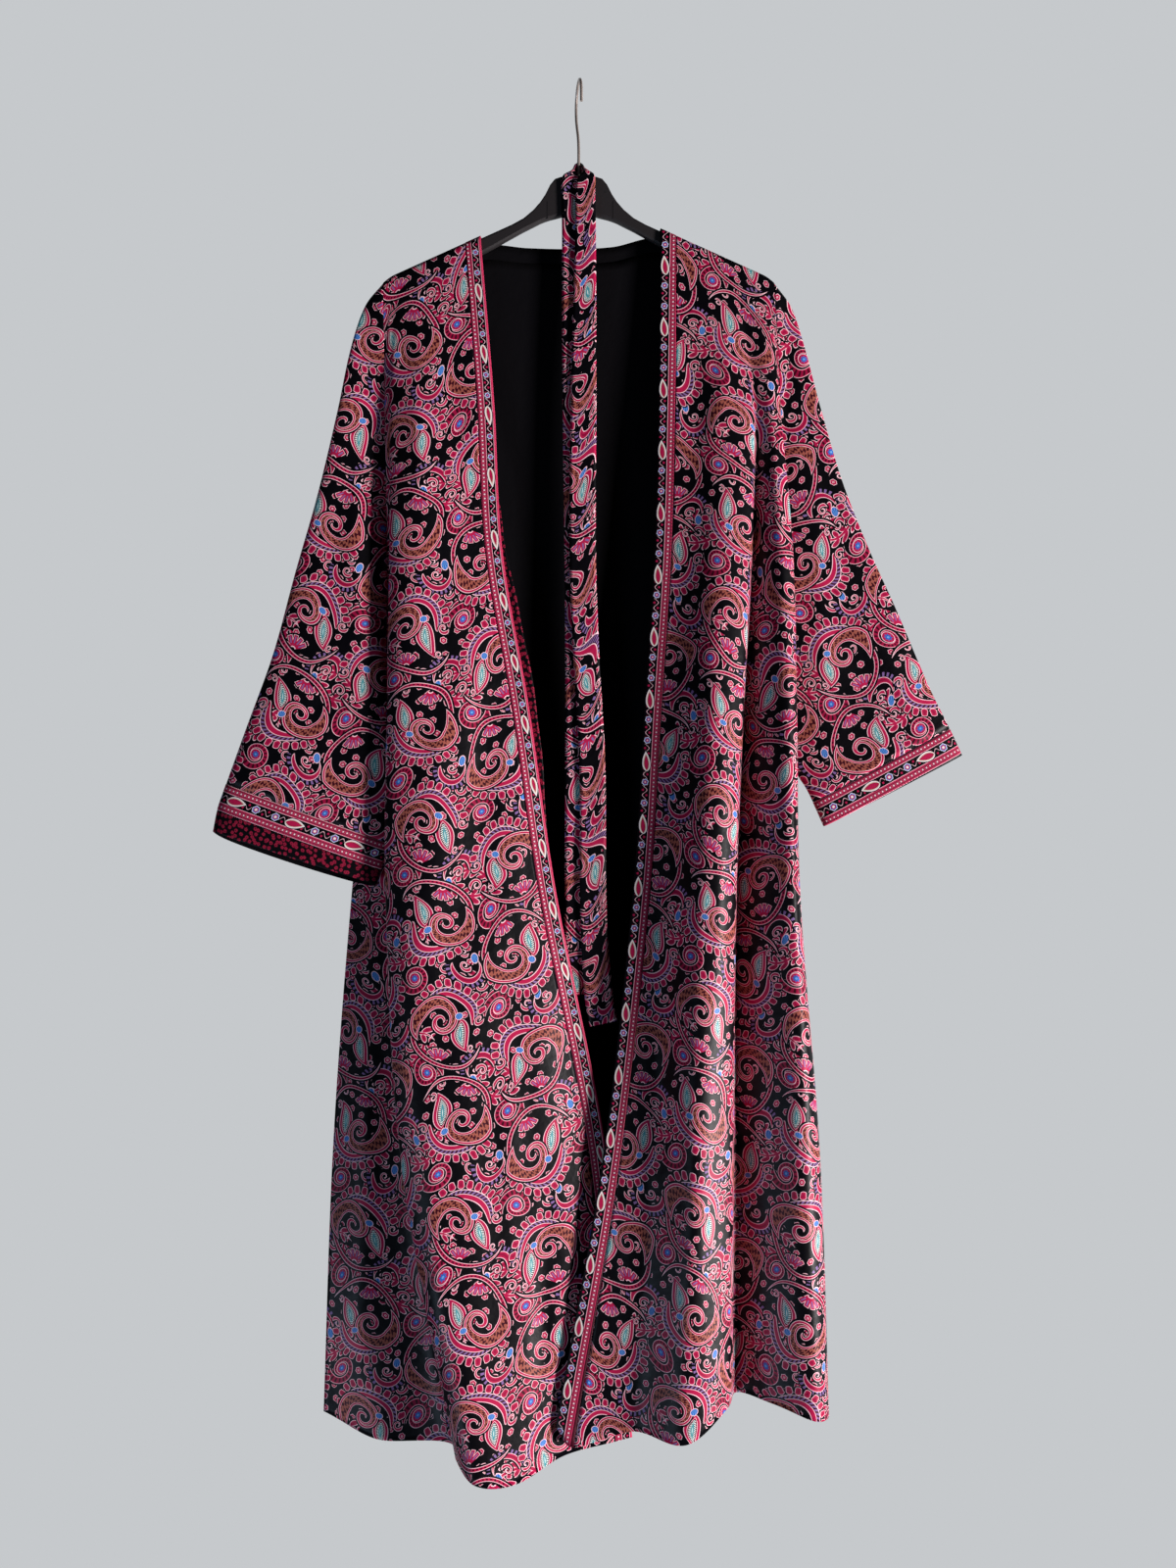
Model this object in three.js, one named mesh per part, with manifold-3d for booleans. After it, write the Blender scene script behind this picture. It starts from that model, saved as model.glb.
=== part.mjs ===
// An open-front kimono robe with its tie belt, hung on a plastic clothes hanger.
// Millimetres, +Z up. The origin is the inside of the hook's top, where a rail or nail carries it.
// +X is the wearer's left, and -Y is the side that the front of the robe faces.
import * as THREE from "three";
import { mergeVertices } from "three/addons/utils/BufferGeometryUtils.js";
import Module from "manifold-3d";

// ---- driving dimensions -------------------------------------------------------------------------

const GAP = 0.3; // between two pieces at a seam
const CLOTH = 1.6; // outer cloth with its backing
const BAND_WALL = 2.2; // the border bands are doubled cloth
const LINING_WALL = 1.0;
const LINING_BACK = 0.5; // between the lining and the back
const HEM_TURN = 20; // depth of the turned hem
const HEM_EXTRA = 0.8; // how much thicker the wall is over the turn
const BELT_WALL = 2.2;
const FACING_WALL = 1.0;

// The shoulder line lies along the hanger's arms.
const SHOULDER = { x: 68, z: -142.8, slope: 0.452, tipX: 186, tipDrop: 0.02 };
const UNDERARM_Z = -480;
// Heights between the shoulder and the hem at which each fold line is placed.
const LEVELS = { chest: -330, underarm: UNDERARM_Z, waist: -635, hip: -820, knee: -1090 };
const INNER_LEVELS = Object.values(LEVELS);

// How the fronts go over the hanger's arm: y, and height below the shoulder line.
const SHOULDER_WRAP = [
  { y: 7.2, drop: 5.0 },
  { y: 7.0, drop: 3.0 },
  { y: 4.8, drop: 1.0 },
  { y: 0.0, drop: 0.0 },
  { y: -4.6, drop: 1.2 },
];
const WRAP_END_DROP = 5; // where a front hangs free of the arm

// A fold line runs from the shoulder to the hem. x and y are its places at the shoulder, chest,
// underarm, waist, hip, knee and hem, hem is the height it ends at, and steps is how many columns of
// cloth lie between it and the next line.
const RIGHT_FRONT = [
  { name: "edge", steps: 2, hem: -1376, x: [-99.5, -85.5, -77, -50.5, -23.5, 28.5, 54], y: [-5.8, -10, -13, -15, -15, -12, -10] },
  { name: "seam", steps: 2, hem: -1379, x: [-115, -103, -94.5, -68, -41, 11, 36], y: [-5.8, -12, -15, -18, -18, -15, -13] },
  { name: "inner", steps: 2, hem: -1387, x: [-128, -118, -112, -90, -68, -28, -14], y: [-5.8, -14, -19, -23, -26, -27, -26] },
  { name: "middle", steps: 3, hem: -1404, x: [-143, -138, -135, -122, -108, -80, -60], y: [-5.8, -17, -26, -32, -38, -42, -46] },
  { name: "crest", steps: 3, hem: -1399, x: [-162, -165, -166, -163, -158, -138, -100], y: [-5.8, -19, -31, -39, -46, -54, -62] },
  { name: "roll", steps: 2, hem: -1382, x: [-178, -187, -188.5, -190, -191, -174, -120], y: [-5.8, -15, -25, -31, -36, -42, -46] },
  { name: "tuck", steps: 2, hem: -1379, x: [-184, -192, -182, -181, -180, -166, -122], y: [-5.8, -11, -14, -17, -20, -23, -26] },
  { name: "trough", steps: 2, hem: -1380, x: [-189, -194.5, -187, -184, -185, -176, -142], y: [-5.8, -9, -5, -3.5, -4, -6, -9] },
  { name: "side", steps: 3, hem: -1380, x: [-193, -196, -194, -198, -210, -215, -205], y: [-5.8, -7, -1.5, 1.5, 1, -3, -6] },
  { name: "sideSeam", steps: 0, hem: -1357, x: [-198.5, -197, -199.5, -212, -232, -252, -261], y: [-5.8, -6, -1.1, 5, 8, 8, 6] },
];
const LEFT_FRONT = [
  { name: "edge", steps: 2, hem: -1354, x: [83, 80.5, 76.5, 66.5, 55, 24, -22.5], y: [-5.8, -10, -14, -17, -20, -27, -32] },
  { name: "seam", steps: 2, hem: -1374, x: [99, 98, 94, 84, 72.5, 41.5, -5], y: [-5.8, -12, -17, -20, -23, -30, -35] },
  { name: "middle", steps: 3, hem: -1357, x: [112, 114, 112, 105, 94, 73, 53], y: [-5.8, -14, -22, -28, -31, -36, -38] },
  { name: "crest", steps: 3, hem: -1358, x: [132, 150, 146, 135, 123, 113, 105], y: [-5.8, -18, -34, -45, -55, -61, -63] },
  { name: "drop", steps: 2, hem: -1332, x: [148, 172, 169.5, 161.5, 153.5, 149.5, 146], y: [-5.8, -15, -27, -35, -41, -43, -44] },
  { name: "trough", steps: 2, hem: -1331, x: [158, 178, 177, 169, 161.5, 160, 160], y: [-5.8, -11, -10.5, -9.5, -9, -9, -10] },
  { name: "rise", steps: 2, hem: -1332, x: [168, 185, 190, 187, 185, 190, 194], y: [-5.8, -13, -20, -25, -27, -30, -32] },
  { name: "sideCrest", steps: 2, hem: -1342, x: [178, 193, 203, 208, 212, 225, 232], y: [-5.8, -15, -27, -36, -41, -46, -48] },
  { name: "roll", steps: 2, hem: -1347, x: [188, 202, 215, 218, 221, 241, 249.5], y: [-5.8, -12, -19, -24, -25, -28, -28] },
  { name: "tuck", steps: 2, hem: -1342, x: [193, 203.5, 209, 206, 212, 234, 244], y: [-5.8, -8, -8, -10, -8, -8, -8] },
  { name: "sideSeam", steps: 0, hem: -1339, x: [198.5, 204.5, 205.5, 197, 208, 230, 238], y: [-5.8, -6, -1.1, 3, 4, 5, 6] },
];
const BACK = [
  { name: "rightSeam", steps: 3, top: -206.4, hem: -1357, x: [-198.5, -197, -199.5, -212, -232, -252, -261], y: [7.2, 6, 1.3, 7.4, 10.4, 10.4, 8.4] },
  { name: "rightFold", steps: 3, top: -184.9, hem: -1372, x: [-150, -150, -152, -156, -168, -184, -190], y: [7.2, 12, 15, 18, 23, 28, 34] },
  { name: "rightNeck", steps: 3, top: -162.8, hem: -1374, x: [-100.5, -102, -104, -106, -112, -122, -126], y: [7.2, 11, 11, 11, 12, 13, 15] },
  { name: "rightNape", steps: 3, top: -165.2, hem: -1376, x: [-52, -55, -56, -56, -58, -62, -64], y: [7.6, 12, 15, 18, 24, 31, 38] },
  { name: "nape", steps: 3, top: -166, hem: -1372, x: [-9, -9, -8, -6, -4, -2, 0], y: [8, 13, 13, 14, 15, 17, 19] },
  { name: "leftNape", steps: 3, top: -164, hem: -1364, x: [35, 38, 40, 42, 46, 52, 56], y: [7.6, 12, 16, 20, 26, 33, 40] },
  { name: "leftNeck", steps: 3, top: -155.2, hem: -1352, x: [84, 86, 90, 92, 98, 108, 112], y: [7.2, 11, 12, 12, 13, 14, 15] },
  { name: "leftFold", steps: 3, top: -180.6, hem: -1336, x: [140, 146, 148, 146, 152, 166, 172], y: [7.2, 12, 15, 18, 22, 28, 34] },
  { name: "leftSeam", steps: 0, top: -206.4, hem: -1339, x: [198.5, 204.5, 205.5, 197, 208, 230, 238], y: [7.2, 6, 1.3, 5.4, 6.4, 7.4, 8.4] },
];
const BODY_ROWS = 21; // rows of cloth between the shoulder and the hem's turn
const LINING_LINES = { first: "rightFold", last: "leftFold" };
const LINING_SHARE = { top: 0.008, bottom: 0.86 }; // how much of the back's length it covers

// A sleeve is a flattened tube. Each row gives its outer fold, its inner fold, the y between its two
// layers, and how far each layer stands from that.
const RIGHT_SLEEVE = [
  { name: "cap", outer: [-217, -229], inner: [-203, -508], y: -2, depth: 5.5, steps: 2 },
  { name: "upper", outer: [-231, -273], inner: [-201, -553], y: -5, depth: 6.5, steps: 2 },
  { name: "bicep", outer: [-244, -339], inner: [-195, -605], y: -9, depth: 7, steps: 2 },
  { name: "elbow", outer: [-263.5, -424], inner: [-190, -655], y: -12, depth: 7.5, steps: 2 },
  { name: "forearm", outer: [-285, -502], inner: [-189, -695], y: -15, depth: 8, steps: 2 },
  { name: "lower", outer: [-307, -583], inner: [-189.5, -728], y: -15, depth: 8, steps: 1 },
  { name: "wrist", outer: [-333, -655], inner: [-190.5, -752], y: -15, depth: 9, steps: 1 },
  { name: "borderSeam", outer: [-354.5, -715], inner: [-193.5, -774], y: -15, depth: 10, steps: 2 },
  { name: "cuffEdge", outer: [-363.5, -741], inner: [-200, -801], y: -15, depth: 11, steps: 2 },
  { name: "turnEdge", outer: [-368, -763], inner: [-204, -816], y: -15, depth: 12, steps: 0, backDrop: 8 },
];
const LEFT_SLEEVE = [
  { name: "cap", outer: [216, -229], inner: [208.5, -512], y: 0, depth: 5, steps: 2 },
  { name: "upper", outer: [229, -268], inner: [209, -556], y: -1, depth: 6, steps: 2 },
  { name: "bicep", outer: [246, -333], inner: [209, -602], y: -2, depth: 7, steps: 2 },
  { name: "elbow", outer: [268, -408], inner: [211, -640], y: -3, depth: 7, steps: 2 },
  { name: "forearm", outer: [294, -475], inner: [215.5, -676], y: -4, depth: 7, steps: 2 },
  { name: "lower", outer: [321, -536], inner: [222, -703], y: -5, depth: 7, steps: 1 },
  { name: "wrist", outer: [354, -614], inner: [231, -718], y: -6, depth: 8, steps: 1 },
  { name: "borderSeam", outer: [375.5, -659], inner: [238.5, -733], y: -7, depth: 9, steps: 2 },
  { name: "cuffEdge", outer: [388, -686], inner: [249.5, -757.5], y: -7, depth: 10, steps: 0 },
];
const RING = 20; // points round a sleeve
const ARMHOLE_GAP = 1.7; // between the armhole's edge and the middle of the sleeve's cloth
const LAYER_FULLNESS = 0.7; // below 1 the two layers of a sleeve stay flat nearly to its folds

// The facing that rolls out past the right front edge: share of the edge's length, and how far out.
const EDGE_FACING = [
  { at: 0.2, out: -1.5 },
  { at: 0.25, out: 3 },
  { at: 0.31, out: 7.5 },
  { at: 0.37, out: 8 },
  { at: 0.42, out: 6.5 },
  { at: 0.47, out: 3 },
  { at: 0.51, out: -1.5 },
];
const EDGE_FACING_HIDDEN = 6; // how far the facing reaches in behind the band

// The belt as rows across it, from the tip of the tail that hangs behind, up and round the back of
// the hook's stem, to the tip of the tail in front. Each row gives the belt's two edges.
const BELT = [
  { a: [12, -5.5, -928], b: [-15, -5.5, -930], steps: 6 },
  { a: [13.5, -5.5, -600], b: [-13.5, -5.5, -600], steps: 5 },
  { a: [10.5, -5.5, -300], b: [-16.5, -5.5, -300], steps: 3 },
  { a: [9.5, -5.5, -150], b: [-17, -5.5, -150], steps: 2 },
  { a: [7, -5.6, -115], b: [-17.5, -5.6, -115], steps: 1 },
  { a: [3, -5.8, -103], b: [-16.5, -5.8, -100], steps: 1 },
  { a: [-1.8, -5.7, -96.5], b: [-13, -5.4, -90], steps: 2 },
  { a: [-3.4, -1.5, -94.3], b: [-9.5, -2.5, -83.5], steps: 2 },
  { a: [-2.8, 2.8, -94.3], b: [-4.8, 2.4, -80.5], steps: 2 },
  { a: [0, 3.6, -94.3], b: [0, 3.6, -79.5], steps: 2 },
  { a: [2.8, 2.8, -94.3], b: [4.8, 2.2, -80.5], steps: 2 },
  { a: [3.4, -1.5, -94.3], b: [10, -3, -83.5], steps: 2 },
  { a: [1.8, -8.3, -96.8], b: [14, -7.6, -90], steps: 2 },
  { a: [-1.5, -8.6, -103], b: [16.5, -8.6, -101], steps: 1 },
  { a: [-3, -8.6, -115], b: [16.7, -8.6, -115], steps: 2 },
  { a: [-3.5, -8.4, -155], b: [17.5, -8.4, -155], steps: 3 },
  { a: [-8, -8.4, -330], b: [18, -8.4, -330], steps: 3 },
  { a: [-9.5, -8.4, -475], b: [17.5, -8.4, -475], steps: 2 },
  { a: [-5.5, -8.4, -585], b: [21, -8.4, -585], steps: 2 },
  { a: [0.7, -8.4, -695], b: [27, -8.4, -695], steps: 2 },
  { a: [1.5, -8.4, -845], b: [28.5, -8.4, -845], steps: 2 },
  { a: [6, -8.4, -930], b: [34.5, -8.4, -927], steps: 1 },
  { a: [11.5, -8.4, -961], b: [39, -8.4, -955], steps: 0 },
];

// The hanger's outline from its middle to the end of an arm; the other arm mirrors it.
const HANGER_THICK = 8;
const HANGER_EDGE = 3; // radius of its rounded edges
const HANGER_BELOW_CLOTH = 1.8; // from the shoulder line down to the top of the arm
const HANGER = [
  { x: 0, top: -95.4, bottom: -136.2 },
  { x: 18, top: -96, bottom: -137 },
  { x: 24, top: -98, bottom: -138.6 },
  { x: 29, top: -104, bottom: -139.8 },
  { x: 34, top: -114, bottom: -141.4 },
  { x: 39, top: -121.5, bottom: -143.4 },
  { x: 46, top: -129.5, bottom: -147 },
  { x: 56, top: -138, bottom: -152 },
  { x: 68, top: -144.6, bottom: -158.6 },
];
const HANGER_ARM = { from: 68, to: 186, steps: 6, depth: 14, deeper: 4 };
const HANGER_TIP = [
  { x: 192, rise: -4, depth: 12.5 },
  { x: 195, rise: -8.5, depth: 6 },
];

const HOOK_WIRE = 3; // diameter
const HOOK_RADIUS = 20; // to the middle of the wire
const HOOK_TURN = 8; // degrees that the hook is turned from square to the hanger
const HOOK_SEAT = 12; // how deep the stem goes into the hanger
const HOOK_TIP = 10; // how far the free end runs on below the bend
const HOOK_STEM = [
  { out: 17.5, z: -31 },
  { out: 10, z: -44 },
  { out: 3, z: -56 },
  { out: 0, z: -68 },
];

// ---- curves -------------------------------------------------------------------------------------

const lerp = (a, b, t) => a + (b - a) * t;

// A smooth value through the points (places[i], values[i]), at any place between the first and last.
function smooth(places, values, at) {
  const slope = (i) => {
    const a = Math.max(i - 1, 0);
    const b = Math.min(i + 1, places.length - 1);
    return (values[b] - values[a]) / (places[b] - places[a]);
  };
  const rising = places[places.length - 1] > places[0];
  let i = 0;
  while (i < places.length - 2 && (rising ? at > places[i + 1] : at < places[i + 1])) i++;
  const span = places[i + 1] - places[i];
  const t = (at - places[i]) / span;
  const t2 = t * t;
  const t3 = t2 * t;
  return (
    (2 * t3 - 3 * t2 + 1) * values[i] +
    (t3 - 2 * t2 + t) * span * slope(i) +
    (3 * t2 - 2 * t3) * values[i + 1] +
    (t3 - t2) * span * slope(i + 1)
  );
}

// Points on one smooth curve through the given points, with steps[i] spans after point i.
function through(points, steps) {
  const places = [0];
  for (let i = 1; i < points.length; i++) {
    places.push(places[i - 1] + Math.sqrt(points[i].distanceTo(points[i - 1])) + 1e-6);
  }
  const along = (at) =>
    new THREE.Vector3(
      ...["x", "y", "z"].map((k) => smooth(places, points.map((p) => p[k]), at)),
    );
  const out = [];
  for (let i = 0; i < points.length - 1; i++) {
    for (let s = 0; s < steps[i]; s++) out.push(along(lerp(places[i], places[i + 1], s / steps[i])));
  }
  out.push(points[points.length - 1].clone());
  return out;
}

// ---- walls --------------------------------------------------------------------------------------

function closedGeometry(vertices, faces) {
  const geometry = new THREE.BufferGeometry();
  let volume = 0;
  for (const [a, b, c] of faces) {
    volume += vertices[a].dot(new THREE.Vector3().crossVectors(vertices[b], vertices[c]));
  }
  const index = faces.flatMap(([a, b, c]) => (volume > 0 ? [a, b, c] : [a, c, b]));
  const position = new Float32Array(vertices.flatMap((v) => v.toArray()));
  geometry.setAttribute("position", new THREE.BufferAttribute(position, 3));
  geometry.setIndex(index);
  return geometry;
}

// The direction across the cloth at row j and column i, by its neighbours.
function across(grid, j, i, ring) {
  const rows = grid.length;
  const columns = grid[0].length;
  const left = ring ? (i + columns - 1) % columns : Math.max(i - 1, 0);
  const right = ring ? (i + 1) % columns : Math.min(i + 1, columns - 1);
  const along = grid[j][right].clone().sub(grid[j][left]);
  const down = grid[Math.min(j + 1, rows - 1)][i].clone().sub(grid[Math.max(j - 1, 0)][i]);
  return along.cross(down).normalize();
}

// Moves a grid of points across the cloth: plus goes the way that across() points.
function moved(grid, distance, ring = false) {
  return grid.map((row, j) =>
    row.map((p, i) => p.clone().addScaledVector(across(grid, j, i, ring), distance)),
  );
}

// A closed wall on a grid of rows of points, half its thickness on each side. extra(j) thickens
// row j on the side away from across().
function wall(grid, thickness, { ring = false, extra = () => 0 } = {}) {
  const rows = grid.length;
  const columns = grid[0].length;
  const face = moved(grid, thickness / 2, ring);
  const back = grid.map((row, j) =>
    row.map((p, i) =>
      p.clone().addScaledVector(across(grid, j, i, ring), -thickness / 2 - extra(j)),
    ),
  );
  const vertices = [...face.flat(), ...back.flat()];
  const at = (side, j, i) => side * rows * columns + j * columns + (i % columns);
  const faces = [];
  const quad = (a, b, c, d) => faces.push([a, b, c], [a, c, d]);
  const spans = ring ? columns : columns - 1;
  for (let j = 0; j < rows - 1; j++) {
    for (let i = 0; i < spans; i++) {
      quad(at(0, j, i), at(0, j, i + 1), at(0, j + 1, i + 1), at(0, j + 1, i));
      quad(at(1, j, i), at(1, j + 1, i), at(1, j + 1, i + 1), at(1, j, i + 1));
    }
  }
  for (let i = 0; i < spans; i++) {
    quad(at(0, 0, i), at(1, 0, i), at(1, 0, i + 1), at(0, 0, i + 1));
    quad(at(0, rows - 1, i), at(0, rows - 1, i + 1), at(1, rows - 1, i + 1), at(1, rows - 1, i));
  }
  for (let j = 0; j < rows - 1 && !ring; j++) {
    quad(at(0, j, 0), at(0, j + 1, 0), at(1, j + 1, 0), at(1, j, 0));
    const last = columns - 1;
    quad(at(0, j, last), at(1, j, last), at(1, j + 1, last), at(0, j + 1, last));
  }
  return closedGeometry(vertices, faces);
}

const columnsOf = (grid, from, to) => grid.map((row) => row.slice(from, to + 1));

// Draws the first or last column, or row, in towards its neighbour by a share of the seam's gap.
function trimColumn(grid, atEnd, distance = GAP / 2 + 0.07) {
  for (const row of grid) {
    const edge = atEnd ? row.length - 1 : 0;
    const next = row[atEnd ? edge - 1 : 1];
    row[edge] = row[edge].clone().addScaledVector(next.clone().sub(row[edge]).normalize(), distance);
  }
  return grid;
}

function trimRow(grid, atEnd, distance = GAP / 2 + 0.07) {
  const edge = atEnd ? grid.length - 1 : 0;
  const next = grid[atEnd ? edge - 1 : 1];
  grid[edge] = grid[edge].map((p, i) =>
    p.clone().addScaledVector(next[i].clone().sub(p).normalize(), distance),
  );
  return grid;
}

// ---- the body's cloth ---------------------------------------------------------------------------

function shoulderZ(x) {
  const past = Math.max(0, Math.abs(x) - SHOULDER.tipX);
  return SHOULDER.z - SHOULDER.slope * (Math.abs(x) - SHOULDER.x) - SHOULDER.tipDrop * past * past;
}

const lineTop = (line) => line.top ?? shoulderZ(line.x[0]) - WRAP_END_DROP;

// The point of a fold line at a height.
function lineAtHeight(line, z) {
  const heights = [lineTop(line), ...INNER_LEVELS, line.hem];
  return new THREE.Vector3(smooth(heights, line.x, z), smooth(heights, line.y, z), z);
}

const lineAt = (line, share) => lineAtHeight(line, lerp(lineTop(line), line.hem, share));

// The shares of a line's length at which the rows lie; the last but one is the top of the hem's turn.
function rowShares(lines) {
  const length = lineTop(lines[0]) - lines[0].hem;
  const turn = 1 - HEM_TURN / length;
  const shares = Array.from({ length: BODY_ROWS }, (_, j) => (turn * j) / (BODY_ROWS - 1));
  return [...shares, 1];
}

function bodyRow(lines, share) {
  return through(lines.map((line) => lineAt(line, share)), lines.map((line) => line.steps));
}

// The rows of a panel, the first of them along the shoulder seam, or along the neck between from and to.
function bodyGrid(lines, neck = { from: 0, to: 0 }) {
  const rows = rowShares(lines).map((share) => bodyRow(lines, share));
  for (const p of rows[0]) {
    if (p.x <= neck.from || p.x >= neck.to) p.z = shoulderZ(p.x) - WRAP_END_DROP;
  }
  return rows;
}

// A front's rows, with those that go over the hanger's arm before them.
function frontGrid(lines) {
  const rows = bodyGrid(lines);
  const over = SHOULDER_WRAP.map(({ y, drop }) =>
    rows[0].map((p) => new THREE.Vector3(p.x, y, shoulderZ(p.x) - drop)),
  );
  return [...over, ...rows];
}

const hemExtra = (rows) => (j) => (j === rows - 1 ? HEM_EXTRA : 0);

// A front is cut into its border band and the panel that the band is sewn to.
function frontPieces(lines) {
  const grid = frontGrid(lines);
  const seam = lines[0].steps;
  const band = trimColumn(columnsOf(grid, 0, seam), true);
  const panel = trimColumn(columnsOf(grid, seam, grid[0].length - 1), false);
  return {
    band: wall(trimRow(band, false), BAND_WALL),
    panel: wall(trimRow(panel, false), CLOTH, { extra: hemExtra(grid.length) }),
  };
}

function backPiece() {
  const grid = bodyGrid(BACK, { from: RIGHT_FRONT[0].x[0], to: LEFT_FRONT[0].x[0] });
  return wall(trimRow(grid, false), CLOTH);
}

// The lining follows the back's own points, moved in, over the part that shows.
function liningPiece() {
  const stepsBefore = (name) => {
    const at = BACK.findIndex((line) => line.name === name);
    return BACK.slice(0, at).reduce((sum, line) => sum + line.steps, 0);
  };
  const shares = rowShares(BACK).filter((s) => s > LINING_SHARE.top && s < LINING_SHARE.bottom);
  const rows = [LINING_SHARE.top, ...shares].map((share) => bodyRow(BACK, share));
  const inset = CLOTH / 2 + LINING_BACK + LINING_WALL / 2;
  const sheet = moved(rows, inwardSign(rows) * inset);
  return wall(
    columnsOf(sheet, stepsBefore(LINING_LINES.first), stepsBefore(LINING_LINES.last)),
    LINING_WALL,
  );
}

// Plus or minus one: the way across() has to go on the back to come forward.
const inwardSign = (grid) => (across(grid, 1, 1, false).y < 0 ? 1 : -1);

// The facing follows the right front's edge, rolled out past the band and lying behind it.
function edgeFacingPiece() {
  const edge = RIGHT_FRONT[0];
  const behind = BAND_WALL / 2 + GAP + FACING_WALL / 2;
  const places = EDGE_FACING.map((row) => row.at);
  const outs = EDGE_FACING.map((row) => row.out);
  const rows = 12;
  const grid = [];
  for (let j = 0; j <= rows; j++) {
    const share = lerp(places[0], places[places.length - 1], j / rows);
    const p = lineAt(edge, share);
    const out = smooth(places, outs, share);
    grid.push(
      [-EDGE_FACING_HIDDEN, (out - EDGE_FACING_HIDDEN) / 2, out].map(
        (dx) => new THREE.Vector3(p.x + dx, p.y + behind - dx * 0.1, p.z),
      ),
    );
  }
  return wall(grid, FACING_WALL);
}

// ---- sleeves ------------------------------------------------------------------------------------

// The armhole, as the ring that the sleeve is sewn to: down the front's side line and up the back's.
function armhole(front, back, outward) {
  const frontLine = front[front.length - 1];
  const top = shoulderZ(frontLine.x[0]);
  const ring = [];
  for (let k = 0; k < RING; k++) {
    const turn = (2 * Math.PI * k) / RING;
    const share = (1 - Math.cos(turn)) / 2;
    const z = lerp(top, UNDERARM_Z, share);
    const p = lineAtHeight(k <= RING / 2 ? frontLine : back, Math.min(z, lineTop(frontLine)));
    const onFold = k === 0 || k === RING / 2;
    const clear = ARMHOLE_GAP + (CLOTH / 2 + GAP) * share ** 4;
    ring.push(new THREE.Vector3(p.x + outward * clear, onFold ? 0 : p.y, z));
  }
  return ring;
}

function sleeveRing({ outer, inner, y, depth, backDrop = 0 }) {
  const ring = [];
  for (let k = 0; k < RING; k++) {
    const turn = (2 * Math.PI * k) / RING;
    const share = (1 - Math.cos(turn)) / 2;
    const side = Math.sin(turn);
    const layer = Math.sign(side) * Math.abs(side) ** LAYER_FULLNESS;
    ring.push(
      new THREE.Vector3(
        lerp(outer[0], inner[0], share),
        y - depth * layer,
        lerp(outer[1], inner[1], share) - backDrop * Math.max(0, -layer),
      ),
    );
  }
  return ring;
}

// Every row of a sleeve, and the number of the row that each named row of its table is.
function sleeveGrid(table, front, back, outward) {
  const rings = [armhole(front, back, outward), ...table.map(sleeveRing)];
  const steps = [2, ...table.map((row) => row.steps)];
  const columns = Array.from({ length: RING }, (_, k) => through(rings.map((r) => r[k]), steps));
  const grid = columns[0].map((_, j) => columns.map((column) => column[j]));
  const rowOf = {};
  let at = steps[0];
  for (const row of table) {
    rowOf[row.name] = at;
    at += row.steps;
  }
  return { grid, rowOf };
}

function sleevePieces(table, front, back, outward) {
  const { grid, rowOf } = sleeveGrid(table, front, back, outward);
  const rowsOf = (from, to) => grid.slice(from, to + 1);
  const tube = trimRow(rowsOf(0, rowOf.borderSeam), true);
  const border = trimRow(rowsOf(rowOf.borderSeam, rowOf.cuffEdge), false);
  const pieces = { tube: wall(tube, CLOTH, { ring: true }) };
  if (rowOf.turnEdge !== undefined) {
    const turn = trimRow(rowsOf(rowOf.cuffEdge, rowOf.turnEdge), false);
    pieces.turn = wall(turn, CLOTH, { ring: true });
    trimRow(border, true);
  }
  pieces.border = wall(border, BAND_WALL, { ring: true });
  return pieces;
}

// ---- belt ---------------------------------------------------------------------------------------

function beltPiece() {
  const steps = BELT.map((row) => row.steps);
  const edgeA = through(BELT.map((row) => new THREE.Vector3(...row.a)), steps);
  const edgeB = through(BELT.map((row) => new THREE.Vector3(...row.b)), steps);
  const grid = edgeA.map((a, j) => [a, a.clone().lerp(edgeB[j], 0.5), edgeB[j]]);
  return wall(grid, BELT_WALL);
}

// ---- hanger -------------------------------------------------------------------------------------

// One cross-section of the hanger, a rounded oblong, from the top of its front round to its back.
function hangerSection(x, top, bottom) {
  const radius = Math.min(HANGER_EDGE, (top - bottom) / 2 - 0.05);
  const corners = [
    { y: 1, z: top - radius, from: 0 },
    { y: -1, z: top - radius, from: 90 },
    { y: -1, z: bottom + radius, from: 180 },
    { y: 1, z: bottom + radius, from: 270 },
  ];
  return corners.flatMap(({ y, z, from }) =>
    [0, 45, 90].map((degrees) => {
      const turn = THREE.MathUtils.degToRad(from + degrees);
      return new THREE.Vector3(
        x,
        y * (HANGER_THICK / 2 - radius) + radius * Math.cos(turn),
        z + radius * Math.sin(turn),
      );
    }),
  );
}

function hangerStations() {
  const half = HANGER.map(({ x, top, bottom }) => [x, top, bottom]);
  for (let s = 1; s <= HANGER_ARM.steps; s++) {
    const share = s / HANGER_ARM.steps;
    const x = lerp(HANGER_ARM.from, HANGER_ARM.to, share);
    const top = shoulderZ(x) - HANGER_BELOW_CLOTH;
    half.push([x, top, top - HANGER_ARM.depth - HANGER_ARM.deeper * Math.sin(Math.PI * share)]);
  }
  for (const { x, rise, depth } of HANGER_TIP) {
    const top = shoulderZ(HANGER_ARM.to) - HANGER_BELOW_CLOTH + rise;
    half.push([x, top, top - depth]);
  }
  const mirrored = half.slice(1).map(([x, top, bottom]) => [-x, top, bottom]);
  return [...mirrored.reverse(), ...half];
}

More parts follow.
